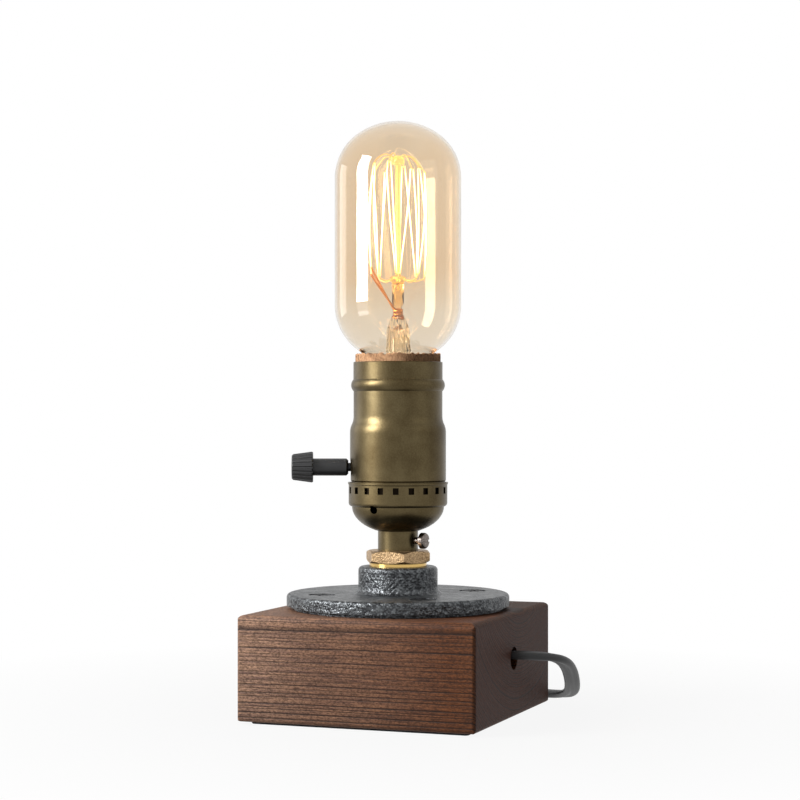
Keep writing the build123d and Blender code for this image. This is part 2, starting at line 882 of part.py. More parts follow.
def plug_body():
    across = Plane.YZ
    collar = across * RectangleRounded(9.0, 6.0, 2.6)
    waist = across.offset(relief_long) * RectangleRounded(15.0, 8.4, 3.0)
    relief = loft([collar, waist], ruled=True)
    body = across.offset(relief_long) * RectangleRounded(plug_wide, plug_thick, 3.5)
    body = fillet(extrude(body, plug_long).edges().filter_by(GeomType.LINE, reverse=True), 1.2)
    for side in (-1, 1):
        place = Pos(relief_long + plug_long / 2, side * (plug_wide / 2 + 15.2), 0)
        body -= place * Cylinder(17, 2 * plug_thick)
    for slot in blade_boxes(0):
        body -= slot
    return plug_place() * (relief + body)


def blade_boxes(trim):
    start = relief_long + plug_long - 6
    long = blade_long + 6
    return [
        Pos(start + long / 2, side * blade_gap / 2, 0) * Box(long, blade_thick - trim, blade_wide - trim)
        for side in (-1, 1)
    ]


def plug_blades():
    blades = []
    for blade in blade_boxes(2 * fit_gap):
        tips = blade.edges().filter_by(Axis.Y).group_by(Axis.X)[-1]
        blade = chamfer(tips, 1.4)
        eye = Pos(relief_long + plug_long + blade_long - 4, 0, 0) * Rot(90, 0, 0) * Cylinder(1.6, plug_wide)
        blades.append(plug_place() * (blade - eye))
    return Compound(children=blades)


upright = {
    "felt_pad": felt_pad,
    "wood_base": wood_base,
    "floor_flange": floor_flange,
    "flange_screws": flange_screws,
    "hex_bushing": hex_bushing,
    "threaded_nipple": threaded_nipple,
    "inner_cord": inner_cord,
    "cord_clamp": cord_clamp,
    "clamp_screws": clamp_screws,
    "cord_run": cord_run,
    "cord_coil": cord_coil,
    "coil_tie": coil_tie,
    "plug_body": plug_body,
    "plug_blades": plug_blades,
}

# The socket and what it holds are made with the knob along -X, then turned to the side that it faces.
turned = {
    "socket_cap": socket_cap,
    "cap_set_screw": cap_set_screw,
    "socket_shell": socket_shell,
    "insulating_liner": insulating_liner,
    "socket_insulator": socket_insulator,
    "screw_shell": screw_shell,
    "centre_contact": centre_contact,
    "socket_rivets": socket_rivets,
    "terminal_screws": terminal_screws,
    "live_wire": lambda: terminal_wire(1),
    "neutral_wire": lambda: terminal_wire(-1),
    "switch_contact": switch_contact,
    "switch_rotor": switch_rotor,
    "switch_shaft": switch_shaft,
    "knob": knob,
    "glass_envelope": glass_envelope,
    "glass_stem": glass_stem,
    "upper_hooks": upper_hooks,
    "lower_hooks": lower_hooks,
    "filament": filament,
    "bulb_leads": bulb_leads,
    "bulb_cap": bulb_cap,
    "cap_insulator": cap_insulator,
    "tip_contact": tip_contact,
}

os.makedirs("parts", exist_ok=True)
for name, make in upright.items():
    export_step(make(), f"parts/{name}.step")
for name, make in turned.items():
    # Each solid is turned alone, since a turned group would keep its solids' old places.
    solids = [Rot(0, 0, socket_turn) * solid for solid in make().solids()]
    export_step(solids[0] if len(solids) == 1 else Compound(children=solids), f"parts/{name}.step")
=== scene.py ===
import bpy
import bmesh
import json
import math
from mathutils import Matrix, Vector, noise

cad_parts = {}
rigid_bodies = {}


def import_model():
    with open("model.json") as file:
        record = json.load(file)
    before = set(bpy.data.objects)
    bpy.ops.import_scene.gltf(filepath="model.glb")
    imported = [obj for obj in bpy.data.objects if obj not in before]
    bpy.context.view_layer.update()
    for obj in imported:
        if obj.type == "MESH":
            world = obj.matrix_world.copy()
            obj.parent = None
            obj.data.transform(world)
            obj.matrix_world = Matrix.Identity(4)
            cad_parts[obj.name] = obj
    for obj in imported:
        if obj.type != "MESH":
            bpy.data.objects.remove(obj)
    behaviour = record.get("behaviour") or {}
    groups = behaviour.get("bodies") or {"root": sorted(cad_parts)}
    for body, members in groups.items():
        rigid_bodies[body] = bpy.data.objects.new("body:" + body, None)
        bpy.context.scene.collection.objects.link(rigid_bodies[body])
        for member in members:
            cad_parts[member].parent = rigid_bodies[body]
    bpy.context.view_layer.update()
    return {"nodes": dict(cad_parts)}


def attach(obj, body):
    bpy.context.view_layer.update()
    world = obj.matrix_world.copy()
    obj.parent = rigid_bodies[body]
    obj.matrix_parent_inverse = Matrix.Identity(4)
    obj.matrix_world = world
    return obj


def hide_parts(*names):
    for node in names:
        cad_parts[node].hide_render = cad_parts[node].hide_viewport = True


for leftover in list(bpy.data.objects):  # what Blender starts with
    bpy.data.objects.remove(leftover)
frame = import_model()
nodes = frame["nodes"]
scene = bpy.context.scene
scene.view_settings.view_transform = "Standard"
mm = 0.001
print("frame loaded,", len(nodes), "nodes")


def linear(hexCode, alpha=1.0):  # an sRGB hex colour as the linear one that a socket takes
    channels = [int(hexCode[i:i + 2], 16) / 255 for i in (1, 3, 5)]
    return [c / 12.92 if c <= 0.04045 else ((c + 0.055) / 1.055) ** 2.4 for c in channels] + [alpha]


def addNode(tree, kind, inputs=None, stops=None, **settings):  # gives back the node's first output
    node = kind if isinstance(kind, bpy.types.Node) else tree.nodes.new(kind)
    for key, value in settings.items():
        setattr(node, key, value)
    for key, value in (inputs or {}).items():
        if isinstance(value, bpy.types.NodeSocket):
            tree.links.new(value, node.inputs[key])
        else:
            node.inputs[key].default_value = value
    for k, (position, colour) in enumerate(stops or []):
        stop = node.color_ramp.elements[k] if k < 2 else node.color_ramp.elements.new(position)
        stop.position = position
        stop.color = colour
    return node.outputs[0] if len(node.outputs) else None


def newFinish(name):  # a material, its tree, its shader and the place on the piece in metres
    material = bpy.data.materials.new(name)
    material.use_nodes = True
    tree = material.node_tree
    place = tree.nodes.new("ShaderNodeTexCoord").outputs["Object"]
    return material, tree, tree.nodes["Principled BSDF"], place


# Camera: level, a little right of the lamp's front

cameraSpec = {
    "turn": 20.4,  # degrees round the lamp's axis
    "distance": 750,
    "height": 107.75,
    "lens": 95.24,
    "sensor": 36,
    "nearClip": 10,
    "shift": (0.0025, 0.0125),
}


def aroundLamp(angle, distance, height):  # a place by its angle to the right of the camera, lengths in mm
    turn = math.radians(cameraSpec["turn"] + angle)
    return Vector((distance * math.sin(turn), -distance * math.cos(turn), height)) * mm


def makeCamera(spec):
    data = bpy.data.cameras.new("photoCamera")
    data.lens = spec["lens"]
    data.sensor_width = spec["sensor"]
    data.shift_x, data.shift_y = spec["shift"]
    data.clip_start = spec["nearClip"] * mm
    camera = bpy.data.objects.new("photoCamera", data)
    camera.location = aroundLamp(0, spec["distance"], spec["height"])
    camera.rotation_euler = (math.radians(90), 0, math.radians(spec["turn"]))
    scene.collection.objects.link(camera)
    scene.camera = camera


makeCamera(cameraSpec)


# Meshes that several pieces share

def newPiece(name, mesh, body, smoothAngle=40):
    data = bpy.data.meshes.new(name)
    bmesh.ops.recalc_face_normals(mesh, faces=mesh.faces)
    mesh.to_mesh(data)
    mesh.free()
    data.shade_smooth()
    data.set_sharp_from_angle(angle=math.radians(smoothAngle))
    piece = bpy.data.objects.new(name, data)
    scene.collection.objects.link(piece)
    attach(piece, body)
    return piece


def finishPiece(piece, material, slot, *replaced):  # what it is made of and which solids it stands for
    piece.data.materials.append(material)
    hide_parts(*replaced)


def arcPoints(centre, radius, start, end, steps):
    angles = [math.radians(start + (end - start) * k / steps) for k in range(steps + 1)]
    return [(centre[0] + radius * math.cos(a), centre[1] + radius * math.sin(a)) for a in angles]


def bridge(mesh, one, other):  # quads between two rings, triangles where one of them is a point
    count = max(len(one), len(other))
    for k in range(count):
        corners = [one[k % len(one)], one[(k + 1) % len(one)]]
        corners += [other[(k + 1) % len(other)], other[k % len(other)]]
        corners = list(dict.fromkeys(corners))
        if len(corners) > 2:
            mesh.faces.new(corners)


def latheMesh(outline, sides):  # turns a closed outline of radius and height, in mm, about the upright axis
    mesh = bmesh.new()
    rings = []
    for radius, height in outline:
        count = sides if radius > 1e-6 else 1
        turns = [2 * math.pi * k / sides for k in range(count)]
        ring = [Vector((radius * math.cos(a), radius * math.sin(a), height)) * mm for a in turns]
        rings.append([mesh.verts.new(point) for point in ring])
    for one, other in zip(rings, rings[1:] + rings[:1]):
        if len(one) > 1 or len(other) > 1:
            bridge(mesh, one, other)
    return mesh


def sweepInto(mesh, points, profile, level=False):  # a profile along points, its width level or turned least
    rings = []
    side = (points[1] - points[0]).orthogonal()
    for k, point in enumerate(points):
        ahead = (points[min(k + 1, len(points) - 1)] - points[max(k - 1, 0)]).normalized()
        side = ahead.cross(Vector((0, 0, 1))) if level else side - ahead * side.dot(ahead)
        side = side.normalized()
        up = side.cross(ahead)
        rings.append([mesh.verts.new(point + side * x * mm + up * y * mm) for x, y in profile])
    for one, other in zip(rings, rings[1:]):
        bridge(mesh, one, other)
    mesh.faces.new(rings[0])
    mesh.faces.new(rings[-1])


def wirePiece(name, lines, radius, body, sides=8):  # round wire along each line of points
    mesh = bmesh.new()
    for line in lines:
        sweepInto(mesh, line, arcPoints((0, 0), radius, 0, 360 - 360 / sides, sides - 1))
    return newPiece(name, mesh, body, smoothAngle=60)


def smoothLine(points, resolution):  # points read from one NURBS spline with these control points
    curve = bpy.data.curves.new("guide", "CURVE")
    curve.dimensions = "3D"
    spline = curve.splines.new("NURBS")
    spline.points.add(len(points) - 1)
    for target, point in zip(spline.points, points):
        target.co = (*point, 1)
    spline.order_u = 3
    spline.use_endpoint_u = True
    spline.resolution_u = resolution
    holder = bpy.data.objects.new("guide", curve)
    scene.collection.objects.link(holder)
    bpy.context.view_layer.update()
    mesh = bpy.data.meshes.new_from_object(holder.evaluated_get(bpy.context.evaluated_depsgraph_get()))
    line = [v.co.copy() for v in mesh.vertices]
    bpy.data.objects.remove(holder)
    bpy.data.curves.remove(curve)
    bpy.data.meshes.remove(mesh)
    return line


# Cord: flat twin flex, out of the block's side, round the corner and into a tied coil behind it

flexSpec = {
    "width": 5.6,
    "thick": 2.8,
    "web": 0.95,  # half the height of the web between the two cores
    "coreSteps": 14,
    "route": [
        (43, 0, 22.7), (49.5, 0, 22.7), (55, 3.6, 22.2), (57.8, 9.8, 20.4), (57.6, 19, 16.4), (55.4, 31, 10),
        (51.6, 43, 4.6), (43.6, 54, 2.2), (29, 59, 2), (5, 52.3, 2), (-16.4, 52.3, 2),
    ],
    "coilStart": (-22, 52.3, 2),
    "outer": 35.2,
    "pitch": 6.2,
    "layerHalfTurns": 4,
    "halfTurns": 17,
    "layerStep": 3.4,
    "tailRun": 20,
    "tailCurve": 20,
    "plugLevel": 19.9,
    "perHalfTurn": 8,
    "resolution": 8,
    "length": 1.79,  # m
}


def halfTurn(points, here, radius, rise, bulge, count):  # points stand a little outside the turn they draw
    pull = 1 / math.cos(math.pi / 2 / count)
    middle = here + Vector((0, radius, rise / 2))
    for j in range(count):
        angle = math.pi * (j + 0.5) / count
        along = -math.cos(angle) * pull
        out = bulge * abs(radius) * math.sin(angle) * pull
        points.append(middle + Vector((out, radius * along, rise / 2 * along)))
    return here + Vector((0, 2 * radius, rise))


def flexPoints(spec):
    points = [Vector(p) for p in spec["route"]]
    here = Vector(spec["coilStart"])
    layer = spec["layerHalfTurns"]
    for k in range(spec["halfTurns"]):
        radius = spec["outer"] - (layer - abs(layer - k % (2 * layer))) * spec["pitch"] / 2
        rise = spec["layerStep"] if k and k % layer == 0 else 0
        way = 1 if k % 2 == 0 else -1
        here = halfTurn(points, here, way * radius, rise, -way, spec["perHalfTurn"])
    here = here + Vector((spec["tailRun"], 0, 0))
    here = halfTurn(points, here, -spec["tailCurve"], spec["plugLevel"] - here.z, 1, spec["perHalfTurn"])
    points.append(here - Vector((spec["width"], 0, 0)))
    return [p * mm for p in points]


def twinProfile(spec):  # two round cores side by side, with a groove between them
    radius = spec["thick"] / 2
    reach = 180 - math.degrees(math.asin(spec["web"] / radius))
    right = arcPoints((spec["width"] / 2 - radius, 0), radius, -reach, reach, spec["coreSteps"])
    return right + [(-x, -y) for x, y in right]


flexLine = smoothLine(flexPoints(flexSpec), flexSpec["resolution"])
flexMesh = bmesh.new()
sweepInto(flexMesh, flexLine, twinProfile(flexSpec), level=True)
lampFlex = newPiece("lampFlex", flexMesh, "lamp", smoothAngle=60)
print("cord laid,", round(sum((b - a).length for a, b in zip(flexLine, flexLine[1:])), 3), "m")


# Stage: a pale floor and backdrop that show white and keep a soft shadow, and studio light

stageSpec = {
    "floorSize": 6000,
    "backdrop": (2200, 1500, 900),  # width, height and how far behind the lamp, mm
    "paper": ("#8B8B89", "#959593"),
    "grain": 2.5,
    "shadowShare": 0.09,  # how much of its own shading the floor shows beside the lamp
    "shadowSpan": (60, 240),  # mm from the lamp's axis: where it starts to fade, and plain white
    "fill": 0.08,  # how bright the studio is to matt surfaces
    "whiteTo": ("Is Camera Ray", "Is Transmission Ray", "Is Glossy Ray"),  # metal and glass show it too
}


def raysOf(tree, *kinds):  # 1 for rays of any of these kinds
    path = tree.nodes.new("ShaderNodeLightPath")
    level = path.outputs[kinds[0]]
    for kind in kinds[1:]:
        level = addNode(tree, "ShaderNodeMath", {0: level, 1: path.outputs[kind]}, operation="MAXIMUM")
    return level


def whitePaper(spec, name, shadow):  # seamless paper: even, matt, plain white to the rays that show it
    material, tree, shader, place = newFinish(name)
    grain = addNode(tree, "ShaderNodeTexNoise", {"Vector": place, "Scale": 1 / (spec["grain"] * mm)})
    tones = [(k, linear(tone)) for k, tone in enumerate(spec["paper"])]
    paper = addNode(tree, "ShaderNodeValToRGB", {"Fac": grain}, tones)
    addNode(tree, shader, {"Base Color": paper, "Roughness": 0.9})
    reach = tree.nodes.new("ShaderNodeVectorMath")
    addNode(tree, reach, {0: place}, operation="LENGTH")
    near, far = spec["shadowSpan"]
    plain = addNode(
        tree, "ShaderNodeMapRange",
        {"Value": reach.outputs["Value"], "From Min": near * mm, "From Max": far * mm,
         "To Min": 1 - shadow, "To Max": 1.0},
    )
    seen = raysOf(tree, *spec["whiteTo"])
    share = addNode(tree, "ShaderNodeMath", {0: seen, 1: plain}, operation="MULTIPLY")
    white = addNode(tree, "ShaderNodeEmission", {"Color": (1, 1, 1, 1), "Strength": 1.0})
    mix = addNode(tree, "ShaderNodeMixShader", {0: share, 1: shader.outputs[0], 2: white})
    addNode(tree, tree.nodes["Material Output"], {"Surface": mix})
    return material


def stageSheet(name, width, depth, place, material):
    mesh = bmesh.new()
    size = Matrix.Diagonal((width * mm, depth * mm, 1, 1))
    bmesh.ops.create_grid(mesh, x_segments=1, y_segments=1, size=0.5, matrix=place @ size)
    data = bpy.data.meshes.new(name)
    mesh.to_mesh(data)
    mesh.free()
    data.materials.append(material)
    sheet = bpy.data.objects.new(name, data)
    scene.collection.objects.link(sheet)


def makeStage(spec):
    wide, tall, behind = spec["backdrop"]
    floorPaper = whitePaper(spec, "paperSweepMatt", spec["shadowShare"])
    wallPaper = whitePaper(spec, "paperBackdropMatt", 0)
    stageSheet("floor", spec["floorSize"], spec["floorSize"], Matrix(), floorPaper)
    turn = Matrix.Rotation(math.radians(cameraSpec["turn"]), 4, "Z")
    upright = turn @ Matrix.Rotation(math.radians(90), 4, "X")
    where = Matrix.Translation(aroundLamp(180, behind, tall / 2 + 1))
    stageSheet("backdrop", wide, tall, where @ upright, wallPaper)


def makeWorld(spec):
    scene.world = bpy.data.worlds.new("studio")
    scene.world.use_nodes = True
    tree = scene.world.node_tree
    dim = addNode(tree, "ShaderNodeBackground", {"Color": (1, 1, 1, 1), "Strength": spec["fill"]})
    white = addNode(tree, "ShaderNodeBackground", {"Color": (1, 1, 1, 1), "Strength": 1.0})
    seen = raysOf(tree, *spec["whiteTo"])
    mix = addNode(tree, "ShaderNodeMixShader", {0: seen, 1: dim, 2: white})
    addNode(tree, tree.nodes["World Output"], {"Surface": mix})


softboxes = {  # angle right of the camera, then mm, then how bright it looks in a mirror
    "keyBoxLeft": {"angle": -67, "distance": 420, "low": 160, "high": 490, "width": 172, "level": 24.0},
    "midBoardLeft": {"angle": -67, "distance": 420, "low": 62, "high": 158, "width": 172, "level": 0.9},
    "lowBoardLeft": {"angle": -67, "distance": 420, "low": 2, "high": 60, "width": 172, "level": 2.6},
    "rimStripLeft": {"angle": -120, "distance": 800, "low": 20, "high": 420, "width": 330, "level": 1.2},
    "highBoardRight": {"angle": 60, "distance": 800, "low": 220, "high": 620, "width": 460, "level": 0.4},
}
wattsPerLevel = 4  # for each square metre of a softbox


def makeSoftbox(name, spec):
    data = bpy.data.lights.new(name, "AREA")
    data.shape = "RECTANGLE"
    data.size = spec["width"] * mm
    data.size_y = (spec["high"] - spec["low"]) * mm
    data.energy = spec["level"] * wattsPerLevel * data.size * data.size_y
    light = bpy.data.objects.new(name, data)
    light.location = aroundLamp(spec["angle"], spec["distance"], (spec["low"] + spec["high"]) / 2)
    light.rotation_euler = (math.radians(90), 0, math.radians(cameraSpec["turn"] + spec["angle"]))
    light.visible_camera = False
    scene.collection.objects.link(light)


makeStage(stageSpec)
makeWorld(stageSpec)
for boxName, boxSpec in softboxes.items():
    makeSoftbox(boxName, boxSpec)
print("stage and", len(softboxes), "lights set")


# Finishes, each patterned by the place on the piece in metres

pineSpec = {
    "heart": (0, 10, 72),  # mm: the tree's heart runs along X, above the block
    "ringWidth": 1.1,
    "waver": 1.7,
    "waverScale": (8, 30, 30),  # waves of 125 by 33 mm
    "uneven": 1.6,  # years that wide and narrow stretches move a ring by
    "unevenScale": 0.45,
    "season": [(0.0, 0.0), (1.0, 0.0), (0.55, 0.08), (0.8, 1.0), (0.93, 0.9)],  # late wood in a year
    "palest": 0.45,  # how dark the palest year's late wood gets
    "early": "#967660",
    "middle": "#695147",
    "late": "#2A1D17",
    "fibre": (9, 0.45, 0.45),  # mm, as the flecks, blotches and relief are
    "fleck": (0.9, 0.42, 0.42),
    "fleckShare": 0.72,
    "specks": [(0.37, (0.3, 0.27, 0.25, 1)), (0.66, (1.6, 1.57, 1.54, 1)), (0.5, (0.92, 0.92, 0.92, 1))],
    "blotch": 24,
    "soak": [(0.3, (0.8, 0.76, 0.74, 1)), (0.7, (1, 1, 1, 1))],
    "relief": 0.22,
    "shadedEnd": "#B28C68",  # painted shade: darker and redder towards +X, the side away from the key light, which multiplies the colour by this
    "shadedSpan": (-43, 34),
    "endTint": "#BFA79C",  # end grain drinks more stain, which multiplies the colour by this
    "gloss": 0.18,
}


def yearRings(tree, place, spec):  # how late in its year the wood is, 0 to 1, in rings about the heart
    slow = addNode(tree, "ShaderNodeMapping", {"Vector": place, "Scale": spec["waverScale"]})
    waver = tree.nodes.new("ShaderNodeTexNoise")
    addNode(tree, waver, {"Vector": slow, "Scale": 1.0, "Detail": 2.0})
    shift = {0: waver.outputs["Color"], 1: [spec["waver"] * mm] * 3, 2: place}
    moved = addNode(tree, "ShaderNodeVectorMath", shift, operation="MULTIPLY_ADD")
    fromHeart = {0: moved, 1: Vector(spec["heart"]) * mm}
    offset = addNode(tree, "ShaderNodeVectorMath", fromHeart, operation="SUBTRACT")
    across = addNode(tree, "ShaderNodeVectorMath", {0: offset, 1: (0, 1, 1)}, operation="MULTIPLY")
    radius = tree.nodes.new("ShaderNodeVectorMath")
    addNode(tree, radius, {0: across}, operation="LENGTH")
    years = {0: radius.outputs["Value"], 1: 1 / (spec["ringWidth"] * mm)}
    rings = addNode(tree, "ShaderNodeMath", years, operation="MULTIPLY")
    uneven = {"W": rings, "Scale": spec["unevenScale"], "Detail": 1.0}
    uneven = addNode(tree, "ShaderNodeTexNoise", uneven, noise_dimensions="1D")
    years = {0: uneven, 1: spec["uneven"], 2: rings}
    years = addNode(tree, "ShaderNodeMath", years, operation="MULTIPLY_ADD")
    season = addNode(tree, "ShaderNodeMath", {0: years}, operation="FRACT")
    whichYear = addNode(tree, "ShaderNodeMath", {0: years}, operation="FLOOR")
    vigour = addNode(tree, "ShaderNodeTexWhiteNoise", {"W": whichYear}, noise_dimensions="1D")
    strength = {"Value": vigour, "To Min": spec["palest"], "To Max": 1.0}
    strength = addNode(tree, "ShaderNodeMapRange", strength)
    shades = [(when, (shade, shade, shade, 1)) for when, shade in spec["season"]]
    late = addNode(tree, "ShaderNodeValToRGB", {"Fac": season}, shades)
    return addNode(tree, "ShaderNodeMath", {0: late, 1: strength}, operation="MULTIPLY")


def stainedPine(spec):  # softwood, brushed and stained: dark late rings sunk in speckled brown
    material, tree, shader, place = newFinish("pineBrushedAndStained")
    lateness = yearRings(tree, place, spec)
    along = {"Vector": place, "Scale": [1 / s for s in spec["fibre"]]}
    along = addNode(tree, "ShaderNodeMapping", along)
    fibre = addNode(tree, "ShaderNodeTexNoise", {"Vector": along, "Scale": 1 / mm, "Detail": 3.0})
    short = {"Vector": place, "Scale": [1 / s for s in spec["fleck"]]}
    short = addNode(tree, "ShaderNodeMapping", short)
    fleck = {"Vector": short, "Scale": 1 / mm, "Detail": 2.0, "Roughness": 0.7}
    fleck = addNode(tree, "ShaderNodeTexNoise", fleck)
    blotch = {"Vector": place, "Scale": 1 / (spec["blotch"] * mm), "Detail": 2.0}
    blotch = addNode(tree, "ShaderNodeTexNoise", blotch)
    tones = [(0.32, linear(spec["middle"])), (0.66, linear(spec["early"]))]
    brown = addNode(tree, "ShaderNodeValToRGB", {"Fac": fibre}, tones)
    ringed = {"Fac": lateness, "Color1": brown, "Color2": linear(spec["late"])}
    ringed = addNode(tree, "ShaderNodeMixRGB", ringed)
    speck = addNode(tree, "ShaderNodeValToRGB", {"Fac": fleck}, spec["specks"])
    flecked = {"Fac": spec["fleckShare"], "Color1": ringed, "Color2": speck}
    flecked = addNode(tree, "ShaderNodeMixRGB", flecked, blend_type="MULTIPLY")
    soak = addNode(tree, "ShaderNodeValToRGB", {"Fac": blotch}, spec["soak"])
    soaked = {"Fac": 1.0, "Color1": flecked, "Color2": soak}
    soaked = addNode(tree, "ShaderNodeMixRGB", soaked, blend_type="MULTIPLY")
    # painted shade: the colour darkens towards +X, the side away from the key light
    sideways = addNode(tree, "ShaderNodeSeparateXYZ", {0: place})
    plainEnd, shadedEnd = spec["shadedSpan"]
    shadedShare = {"Value": sideways, "From Min": plainEnd * mm, "From Max": shadedEnd * mm}
    shadedShare = addNode(tree, "ShaderNodeMapRange", shadedShare)
    stainedAndShaded = {"Fac": shadedShare, "Color1": soaked, "Color2": linear(spec["shadedEnd"])}
    stainedAndShaded = addNode(tree, "ShaderNodeMixRGB", stainedAndShaded, blend_type="MULTIPLY")
    facing = tree.nodes.new("ShaderNodeTexCoord").outputs["Normal"]
    towardsEnd = addNode(tree, "ShaderNodeSeparateXYZ", {0: facing})
    endness = addNode(tree, "ShaderNodeMath", {0: towardsEnd, 1: towardsEnd}, operation="MULTIPLY")
    deep = addNode(tree, "ShaderNodeMapRange", {"Value": endness, "From Min": 0.5, "From Max": 0.95})
    colour = {"Fac": deep, "Color1": stainedAndShaded, "Color2": linear(spec["endTint"])}
    colour = addNode(tree, "ShaderNodeMixRGB", colour, blend_type="MULTIPLY")
    relief = addNode(tree, "ShaderNodeMath", {0: lateness, 1: -0.7, 2: fleck}, operation="MULTIPLY_ADD")
    grooves = {"Height": relief, "Strength": 0.6, "Distance": spec["relief"] * mm}
    bump = addNode(tree, "ShaderNodeBump", grooves)
    matt = addNode(tree, "ShaderNodeMapRange", {"Value": fibre, "To Min": 0.5, "To Max": 0.72})
    gloss = {"Specular IOR Level": spec["gloss"]}
    addNode(tree, shader, {"Base Color": colour, "Roughness": matt, "Normal": bump, **gloss})
    return material


ironSpec = {
    "hollow": "#323335",
    "skin": "#4C4E50",
    "rubbed": "#696C6E",
    "pebble": 1.6,  # mm, as the other sizes are
    "grit": 0.65,
    "patch": 7,
    "hatch": 1.9,
    "hubRadius": 14,
    "relief": 0.38,
}


def castIron(spec):  # grey iron from a sand mould, oiled dark: a pebbled skin that glints in raking light
    material, tree, shader, place = newFinish("greyIronSandCast")
    pebble = {"Vector": place, "Scale": 1 / (spec["pebble"] * mm), "Detail": 1.5}
    pebble = addNode(tree, "ShaderNodeTexNoise", pebble)
    grit = {"Vector": place, "Scale": 1 / (spec["grit"] * mm), "Smoothness": 0.4}
    grit = addNode(tree, "ShaderNodeTexVoronoi", grit, feature="SMOOTH_F1")  # a pimple for each grain of sand
    patch = {"Vector": place, "Scale": 1 / (spec["patch"] * mm), "Detail": 3.0}
    patch = addNode(tree, "ShaderNodeTexNoise", patch)
    axes = tree.nodes.new("ShaderNodeSeparateXYZ")
    addNode(tree, axes, {0: place})
    turn = {0: axes.outputs["Y"], 1: axes.outputs["X"]}
    turn = addNode(tree, "ShaderNodeMath", turn, operation="ARCTAN2")
    arc = addNode(tree, "ShaderNodeMath", {0: turn, 1: spec["hubRadius"] * mm}, operation="MULTIPLY")
    marks = []
    for way in (-1.0, 1.0):  # file marks that cross each other on the upright faces
        slant = {0: axes.outputs["Z"], 1: way, 2: arc}
        slant = addNode(tree, "ShaderNodeMath", slant, operation="MULTIPLY_ADD")
        phase = {0: slant, 1: 2 * math.pi / (spec["hatch"] * mm)}
        phase = addNode(tree, "ShaderNodeMath", phase, operation="MULTIPLY")
        shaken = addNode(tree, "ShaderNodeMath", {0: pebble, 1: 6.0, 2: phase}, operation="MULTIPLY_ADD")
        marks.append(addNode(tree, "ShaderNodeMath", {0: shaken}, operation="SINE"))
    crossed = addNode(tree, "ShaderNodeMath", {0: marks[0], 1: marks[1]}, operation="MAXIMUM")
    skin = addNode(tree, "ShaderNodeMath", {0: grit, 1: -0.5, 2: pebble}, operation="MULTIPLY_ADD")
    relief = addNode(tree, "ShaderNodeMath", {0: crossed, 1: 0.08, 2: skin}, operation="MULTIPLY_ADD")
    uneven = addNode(tree, "ShaderNodeMath", {0: patch, 1: 2.5, 2: relief}, operation="MULTIPLY_ADD")
    tones = [(0.1, linear(spec["hollow"])), (0.55, linear(spec["rubbed"])), (0.3, linear(spec["skin"]))]
    colour = addNode(tree, "ShaderNodeValToRGB", {"Fac": relief}, tones)
    aged = {"Fac": 0.3, "Color1": colour, "Color2": patch}
    aged = addNode(tree, "ShaderNodeMixRGB", aged, blend_type="SOFT_LIGHT")
    sheen = addNode(tree, "ShaderNodeMapRange", {"Value": patch, "To Min": 0.25, "To Max": 0.55})
    rough = {"Height": uneven, "Strength": 0.9, "Distance": spec["relief"] * mm}
    bump = addNode(tree, "ShaderNodeBump", rough)
    addNode(tree, shader, {"Base Color": aged, "Metallic": 0.9, "Roughness": sheen, "Normal": bump})
    return material


brassSpec = {
    "dark": "#443925",
    "bright": "#5F543C",
    # painted shade for the sheet that stands inside the cap
    "paintedShadeTone": "#15100B",
    "roughness": 0.35,
    "line": (30, 30, 0.35),  # mm, as the other sizes are
    "grain": 0.5,
    "cloud": 11,
    "relief": 0.022,
}


def antiquedBrass(spec, name, paintedShadeBelow=0):  # spun, darkened, rubbed back: satin with faint turning lines
    material, tree, shader, place = newFinish(name)
    turned = {"Vector": place, "Scale": [1 / s for s in spec["line"]]}
    turned = addNode(tree, "ShaderNodeMapping", turned)
    lines = addNode(tree, "ShaderNodeTexNoise", {"Vector": turned, "Scale": 1 / mm, "Detail": 2.0})
    grain = {"Vector": place, "Scale": 1 / (spec["grain"] * mm), "Detail": 3.0}
    grain = addNode(tree, "ShaderNodeTexNoise", grain)
    cloud = {"Vector": place, "Scale": 1 / (spec["cloud"] * mm), "Detail": 3.0}
    cloud = addNode(tree, "ShaderNodeTexNoise", cloud)
    mottle = addNode(tree, "ShaderNodeMath", {0: grain, 1: 0.45, 2: cloud}, operation="MULTIPLY_ADD")
    tones = [(0.48, linear(spec["dark"])), (0.95, linear(spec["bright"]))]
    colour = addNode(tree, "ShaderNodeValToRGB", {"Fac": mottle}, tones)
    height = tree.nodes.new("ShaderNodeSeparateXYZ")
    addNode(tree, height, {0: place})
    shown = {"Value": height.outputs["Z"], "From Min": (paintedShadeBelow - 1) * mm, "From Max": paintedShadeBelow * mm}
    shown = addNode(tree, "ShaderNodeMapRange", shown)  # painted shade: near black where the sheet stands inside another piece
    colour = {"Fac": shown, "Color1": linear(spec["paintedShadeTone"]), "Color2": colour}
    colour = addNode(tree, "ShaderNodeMixRGB", colour)
    low, high = spec["roughness"] * 0.85, spec["roughness"] * 1.2
    sheen = {"Value": mottle, "From Max": 1.4, "To Min": high, "To Max": low}
    sheen = addNode(tree, "ShaderNodeMapRange", sheen)
    relief = addNode(tree, "ShaderNodeMath", {0: lines, 1: grain}, operation="ADD")
    fine = {"Height": relief, "Strength": 0.5, "Distance": spec["relief"] * mm}
    bump = addNode(tree, "ShaderNodeBump", fine)
    addNode(tree, shader, {"Base Color": colour, "Metallic": 1.0, "Roughness": sheen, "Normal": bump})
    return material


castBrassSpec = {
    "dark": "#665138",
    "bright": "#BC9F7A",
    "collar": "#D0AE6C",
    "collarTop": 53.8,  # mm, as the sizes are
    "grain": 0.55,
    "cloud": 5,
    "relief": 0.3,
    "collarRoughness": 0.16,
    "rawRoughness": 0.44,
}


